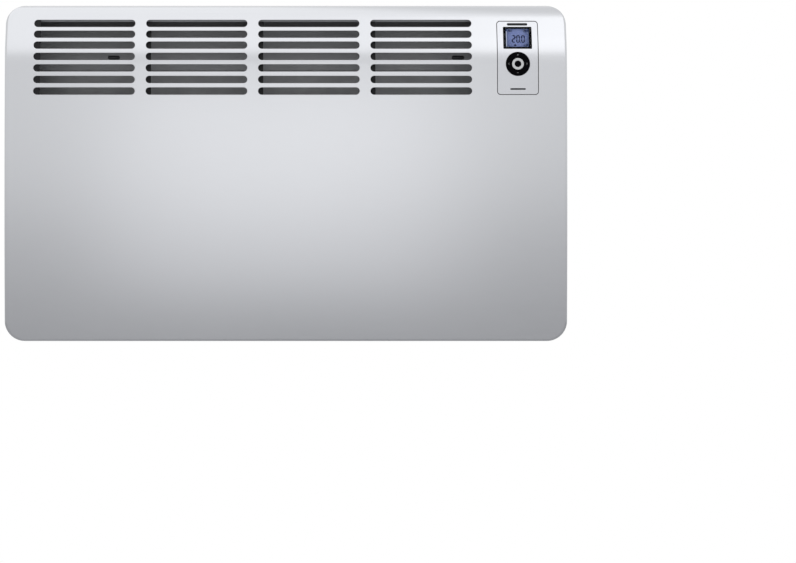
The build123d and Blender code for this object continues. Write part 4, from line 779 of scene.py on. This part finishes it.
def lit_crystal():
    """Liquid crystal, its light fading towards the edges."""
    reach_x, reach_z = 0.024, 0.021
    material, tree, shader = new_material("lcd")
    place = add_node(tree, "Mapping", {
        "Vector": object_place(tree),
        "Scale": (1 / reach_x, 0.0, 1 / reach_z),
        "Location": (-BEZEL_X * MM * (1 / reach_x), 0, -DISPLAY_Z * MM * (1 / reach_z)),
    })
    fade = add_node(tree, "TexGradient", {"Vector": place.outputs["Vector"]}, gradient_type="SPHERICAL")
    cloud = calc(tree, "MULTIPLY_ADD", noise(tree, 160, 2.0), 0.25, fade.outputs["Fac"])
    light = tint(tree, cloud, (0.035, 0.05, 0.11), (0.115, 0.145, 0.285))
    feed(tree, shader, {
        "Base Color": light,
        "Emission Color": light,
        "Emission Strength": 0.6,
        "Specular IOR Level": 0.1,
        "Roughness": 0.4,
    })
    return material


def deflector_painted_light_and_shade():
    """Bent sheet behind the louvres, with painted light and shade by height: lighter where it shows through the
    second and third rows from the top, painted shade lower down and on its folded upper lip.
    """
    low_z, high_z = 0.14, 0.22
    # colours by height on the sheet: painted shade low down and at the upper lip, painted light in the band
    # between
    painted_shade_low, painted_shade_top = (0.30, 0.305, 0.32), (0.16, 0.16, 0.165)
    painted_light_band = [(at, (grey, grey * 1.015, grey * 1.05)) for at, grey in ((0.45, 0.36), (0.65, 0.46), (0.8, 0.46))]
    material, tree, shader = new_material("deflector")
    split = add_node(tree, "SeparateXYZ", {"Vector": object_place(tree)})
    level = rescale(tree, split.outputs["Z"], low_z, high_z)
    blend = calc(tree, "MULTIPLY_ADD", noise(tree, 40, 4.0), 0.06, level)
    fine = noise(tree, 90, 2.0)
    feed(tree, shader, {
        "Base Color": ramp(tree, blend, [(0.2, painted_shade_low), *painted_light_band, (0.86, painted_shade_top)]),
        "Roughness": spread(tree, fine, 0.42, 0.58),
        "Metallic": 0.3,
        "Normal": bump(tree, fine, 1e-5),
    })
    return material


SURFACES = {
    "bezel_silver": dict(colour=(0.56, 0.57, 0.60), rough=0.23, metallic=1.0, vary=0.02, patch=6, grain=2500,
                         grain_depth=5e-6),
    "casing_grey": dict(colour=(0.42, 0.43, 0.45), rough=0.5, vary=0.03, grain=1400, grain_depth=4e-5),
    # the end caps' black plastic; the painted shadow strips take it too
    "end_plastic": dict(colour=(0.009, 0.009, 0.0105), rough=0.6, specular=0.25, vary=0.1, grain=1100,
                        grain_depth=5e-5),
    "galvanised": dict(colour=(0.44, 0.45, 0.47), rough=0.42, metallic=0.85, vary=0.12, rough_vary=0.1,
                       patch=55, grain=90, grain_depth=1e-5),
    # painted shade: a darker copy of the galvanised sheet, so that the rear heat shield, lit more through the
    # louvres, looks as dim as the deflector
    "rear_shield_painted_shade": dict(colour=(0.275, 0.278, 0.288), rough=0.5, metallic=0.3, vary=0.08, rough_vary=0.08,
                        patch=40, grain=90, grain_depth=1e-5),
    "fastener_steel": dict(colour=(0.6, 0.6, 0.61), rough=0.32, metallic=1.0, grain=1600),
    "spring_steel": dict(colour=(0.05, 0.05, 0.055), rough=0.4, metallic=0.6, vary=0.1, grain=1600),
    "display_black": dict(colour=(0.002, 0.002, 0.003), rough=0.4, specular=0.05, vary=0.1, grain=2200,
                          grain_depth=2e-6),
    "backlight": dict(colour=(0.7, 0.75, 0.9), rough=0.4, vary=0.02, grain_depth=1e-5),
    "ink": dict(colour=(0.01, 0.014, 0.05), rough=0.4, specular=0.1, vary=0.1, grain=2200, grain_depth=2e-6),
    "name_grey": dict(colour=(0.018, 0.019, 0.019), rough=0.4, specular=0.15, vary=0.08, grain=2200,
                      grain_depth=2e-6),
    "mark_grey": dict(colour=(0.22, 0.22, 0.23), rough=0.45, vary=0.08, grain=2200, grain_depth=2e-6),
    "key_black": dict(colour=(0.002, 0.002, 0.003), rough=0.25, specular=0.02, vary=0.15, rough_vary=0.04,
                      grain=2000, grain_depth=3e-6),
    "button_silver": dict(colour=(0.58, 0.59, 0.60), rough=0.24, metallic=0.35, vary=0.02, grain=2400,
                          grain_depth=3e-6),
    "inner_plastic": dict(colour=(0.04, 0.04, 0.044), rough=0.5, vary=0.1, grain=1100, grain_depth=4e-5),
    "rocker_black": dict(colour=(0.012, 0.012, 0.014), rough=0.28, vary=0.1, grain=1500, grain_depth=1e-5),
    "board_green": dict(colour=(0.015, 0.13, 0.055), rough=0.38, vary=0.15, grain=800, grain_depth=1e-5),
    "capacitor_yellow": dict(colour=(0.72, 0.5, 0.05), rough=0.3, vary=0.05),
    "terminal_white": dict(colour=(0.68, 0.68, 0.64), rough=0.45, vary=0.04),
    "element_metal": dict(colour=(0.2, 0.19, 0.18), rough=0.45, metallic=0.9, vary=0.2, grain=700),
    "fin_aluminium": dict(colour=(0.72, 0.73, 0.74), rough=0.35, metallic=1.0, vary=0.04, stretch=(1, 1, 8)),
    "ceramic_white": dict(colour=(0.78, 0.76, 0.7), rough=0.6, vary=0.04, grain=1300),
    "tab_brass": dict(colour=(0.72, 0.53, 0.22), rough=0.32, metallic=1.0),
    "wire_sleeve": dict(colour=(0.4, 0.06, 0.04), rough=0.5, vary=0.08),
    "buffer_rubber": dict(colour=(0.022, 0.022, 0.022), rough=0.75, vary=0.1, grain=1100),
}
looks = {name: surface(name, **values) for name, values in SURFACES.items()}
looks["display_glass"] = display_glass()
looks["lcd"] = lit_crystal()
looks["cover_steel"] = brushed_cover()
looks["deflector"] = deflector_painted_light_and_shade()

cover.data.materials.append(looks["cover_steel"])
for piece in (digits, symbols):
    piece.data.materials.append(looks["ink"])
light_strip.data.materials.append(looks["backlight"])
key_marks.data.materials.append(looks["mark_grey"])
seal_and_shadow.data.materials.append(looks["buffer_rubber"])
# the painted shadow strips, in the end caps' black plastic
for shadow_strip in shadow_strips:
    shadow_strip.data.materials.append(looks["end_plastic"])

# nodes whose look isn't the one of their material slot; the deflector's and the rear heat shield's looks carry
# painted light and shade
OWN_LOOKS = {"air_deflector": "deflector", "rear_heat_shield": "rear_shield_painted_shade", "name_inlay": "name_grey"}
for part in frame["record"]["subparts"]:
    piece = nodes[part["node"]]
    piece.data.materials.clear()
    piece.data.materials.append(looks[OWN_LOOKS.get(part["node"], part["material_slot"])])

# ---- floor, light and camera, in metres ----
WHITE = (1, 1, 1, 1)
FLOOR_Z, FLOOR_SIZE = -0.9, 60


def floor_look():
    """Pale matt floor that fades into white for the camera and is open from below."""
    material, tree, shader = new_material("floor")
    to_camera = add_node(tree, "LightPath").outputs["Is Camera Ray"]
    geometry = add_node(tree, "NewGeometry")
    length = add_node(tree, "VectorMath", {0: geometry.outputs["Position"]}, operation="LENGTH")
    distance = length.outputs["Value"]
    matt = tint(tree, rescale(tree, distance, 2.0, 9.0), (0.54, 0.54, 0.55), (0.74, 0.74, 0.75))
    pale = add_node(tree, "Mix", data_type="RGBA")
    feed(tree, pale, {"Factor": to_camera, "A": matt, "B": (0.93, 0.93, 0.93, 1)})
    feed(tree, shader, {"Base Color": pale.outputs["Result"], "Roughness": 0.9, "Specular IOR Level": 0.0})
    far = calc(tree, "MULTIPLY", rescale(tree, distance, 1.0, 1.9), to_camera)
    from_above = mix_shaders(tree, far, shader.outputs[0], add_node(tree, "Emission").outputs[0])
    under = calc(tree, "MULTIPLY", geometry.outputs["Backfacing"], to_camera)
    clear = add_node(tree, "BsdfTransparent").outputs[0]
    feed(tree, tree.nodes["Material Output"], {"Surface": mix_shaders(tree, under, from_above, clear)})
    return material


def studio():
    """Even light, a little weaker than the white that is seen directly, in reflections and through glass."""
    world = bpy.data.worlds.new("studio")
    world.use_nodes = True
    tree = world.node_tree
    plain = tree.nodes["Background"]
    feed(tree, plain, {"Color": WHITE, "Strength": 0.8})
    seen = add_node(tree, "Background", {"Color": WHITE, "Strength": 1.0})
    path = add_node(tree, "LightPath").outputs
    direct = calc(tree, "MAXIMUM", path["Is Camera Ray"], path["Is Glossy Ray"])
    direct = calc(tree, "MAXIMUM", direct, path["Is Transmission Ray"])
    mixed = mix_shaders(tree, direct, plain.outputs[0], seen.outputs[0])
    feed(tree, tree.nodes["World Output"], {"Surface": mixed})
    return world


def softbox(name, place, target, width, height, power):
    light = bpy.data.lights.new(name, "AREA")
    light.shape = "RECTANGLE"
    light.size, light.size_y = width, height
    light.energy = power
    lamp = bpy.data.objects.new(name, light)
    lamp.location = place
    lamp.rotation_euler = (Vector(target) - Vector(place)).to_track_quat("-Z", "Y").to_euler()
    lamp.visible_camera = False
    bpy.context.scene.collection.objects.link(lamp)
    return lamp


AIM_Y, AIM_Z = -0.1, 0.15


def raised(name, left, right, low, high, reach, radiance, roll):
    """Softbox above the heater that fills the angles low to high over the horizon, as seen from its aim."""
    middle, half = math.radians((low + high) / 2), math.radians((high - low) / 2)
    x, width, height = (left + right) / 2, right - left, 2 * reach * math.tan(half)
    place = (x, AIM_Y - reach * math.cos(middle), AIM_Z + reach * math.sin(middle))
    lamp = softbox(name, place, (x, AIM_Y, AIM_Z), width, height, radiance * math.pi * width * height)
    lamp.rotation_euler.rotate_axis("Z", math.radians(roll))


bpy.ops.mesh.primitive_plane_add(size=FLOOR_SIZE, location=(0, 0, FLOOR_Z))
floor = bpy.context.object
floor.name = "floor"
floor.data.materials.append(floor_look())
bpy.context.scene.world = studio()

# name, left and right end, lowest and highest angle in degrees, reach, radiance, roll in degrees
RAISED_LAMPS = (
    ("high_1", -2.0, 2.0, 21.4, 44, 2.5, 0.13, 0.0),
    ("high_2", -2.0, 2.0, 21.4, 55, 2.5, 0.13, 0.0),
    ("high_3", -2.0, 2.0, 21.4, 69, 2.5, 0.13, 0.0),
    ("right_1", 0.4, 1.9, 21.4, 45, 2.5, 0.16, 0.0),
    ("right_2", 0.4, 1.9, 21.4, 53, 2.5, 0.14, 0.0),
    ("left_1", -1.7, 0.45, 44, 128, 2.15, 0.13, 8.5),
    ("left_2", -1.7, 0.3, 55, 128, 2.15, 0.13, 8.5),
    ("left_3", -1.7, 0.15, 69, 128, 2.15, 0.13, 8.5),
)
for lamp_values in RAISED_LAMPS:
    raised(*lamp_values)
softbox("front", place=(-0.01, -2.2, 0.0), target=(-0.01, -0.1, 0.03), width=0.8, height=0.86, power=0.82)

# the photo's size and the heater's middle in it, in pixels, and the metres that a pixel covers at the front
PHOTO_W, PHOTO_H, MIDDLE_X, MIDDLE_Y, PIXEL = 796, 563, 285.9, 172.45, 0.001391
DISTANCE, SENSOR_W = 3.2, 36
centre = (cad_box[0] + cad_box[1]) / 2
bpy.ops.object.camera_add()
camera = bpy.context.object
camera.name = "camera"
camera.location = (centre.x, -DEPTH * MM - DISTANCE, centre.z)
camera.rotation_euler = (math.radians(90), 0, 0)
camera.data.sensor_width = SENSOR_W
camera.data.lens = SENSOR_W * DISTANCE / (PHOTO_W * PIXEL)
camera.data.shift_x = (PHOTO_W / 2 - MIDDLE_X) / PHOTO_W
camera.data.shift_y = -(PHOTO_H / 2 - MIDDLE_Y) / PHOTO_W
bpy.context.scene.camera = camera
bpy.context.scene.view_settings.view_transform = "Standard"
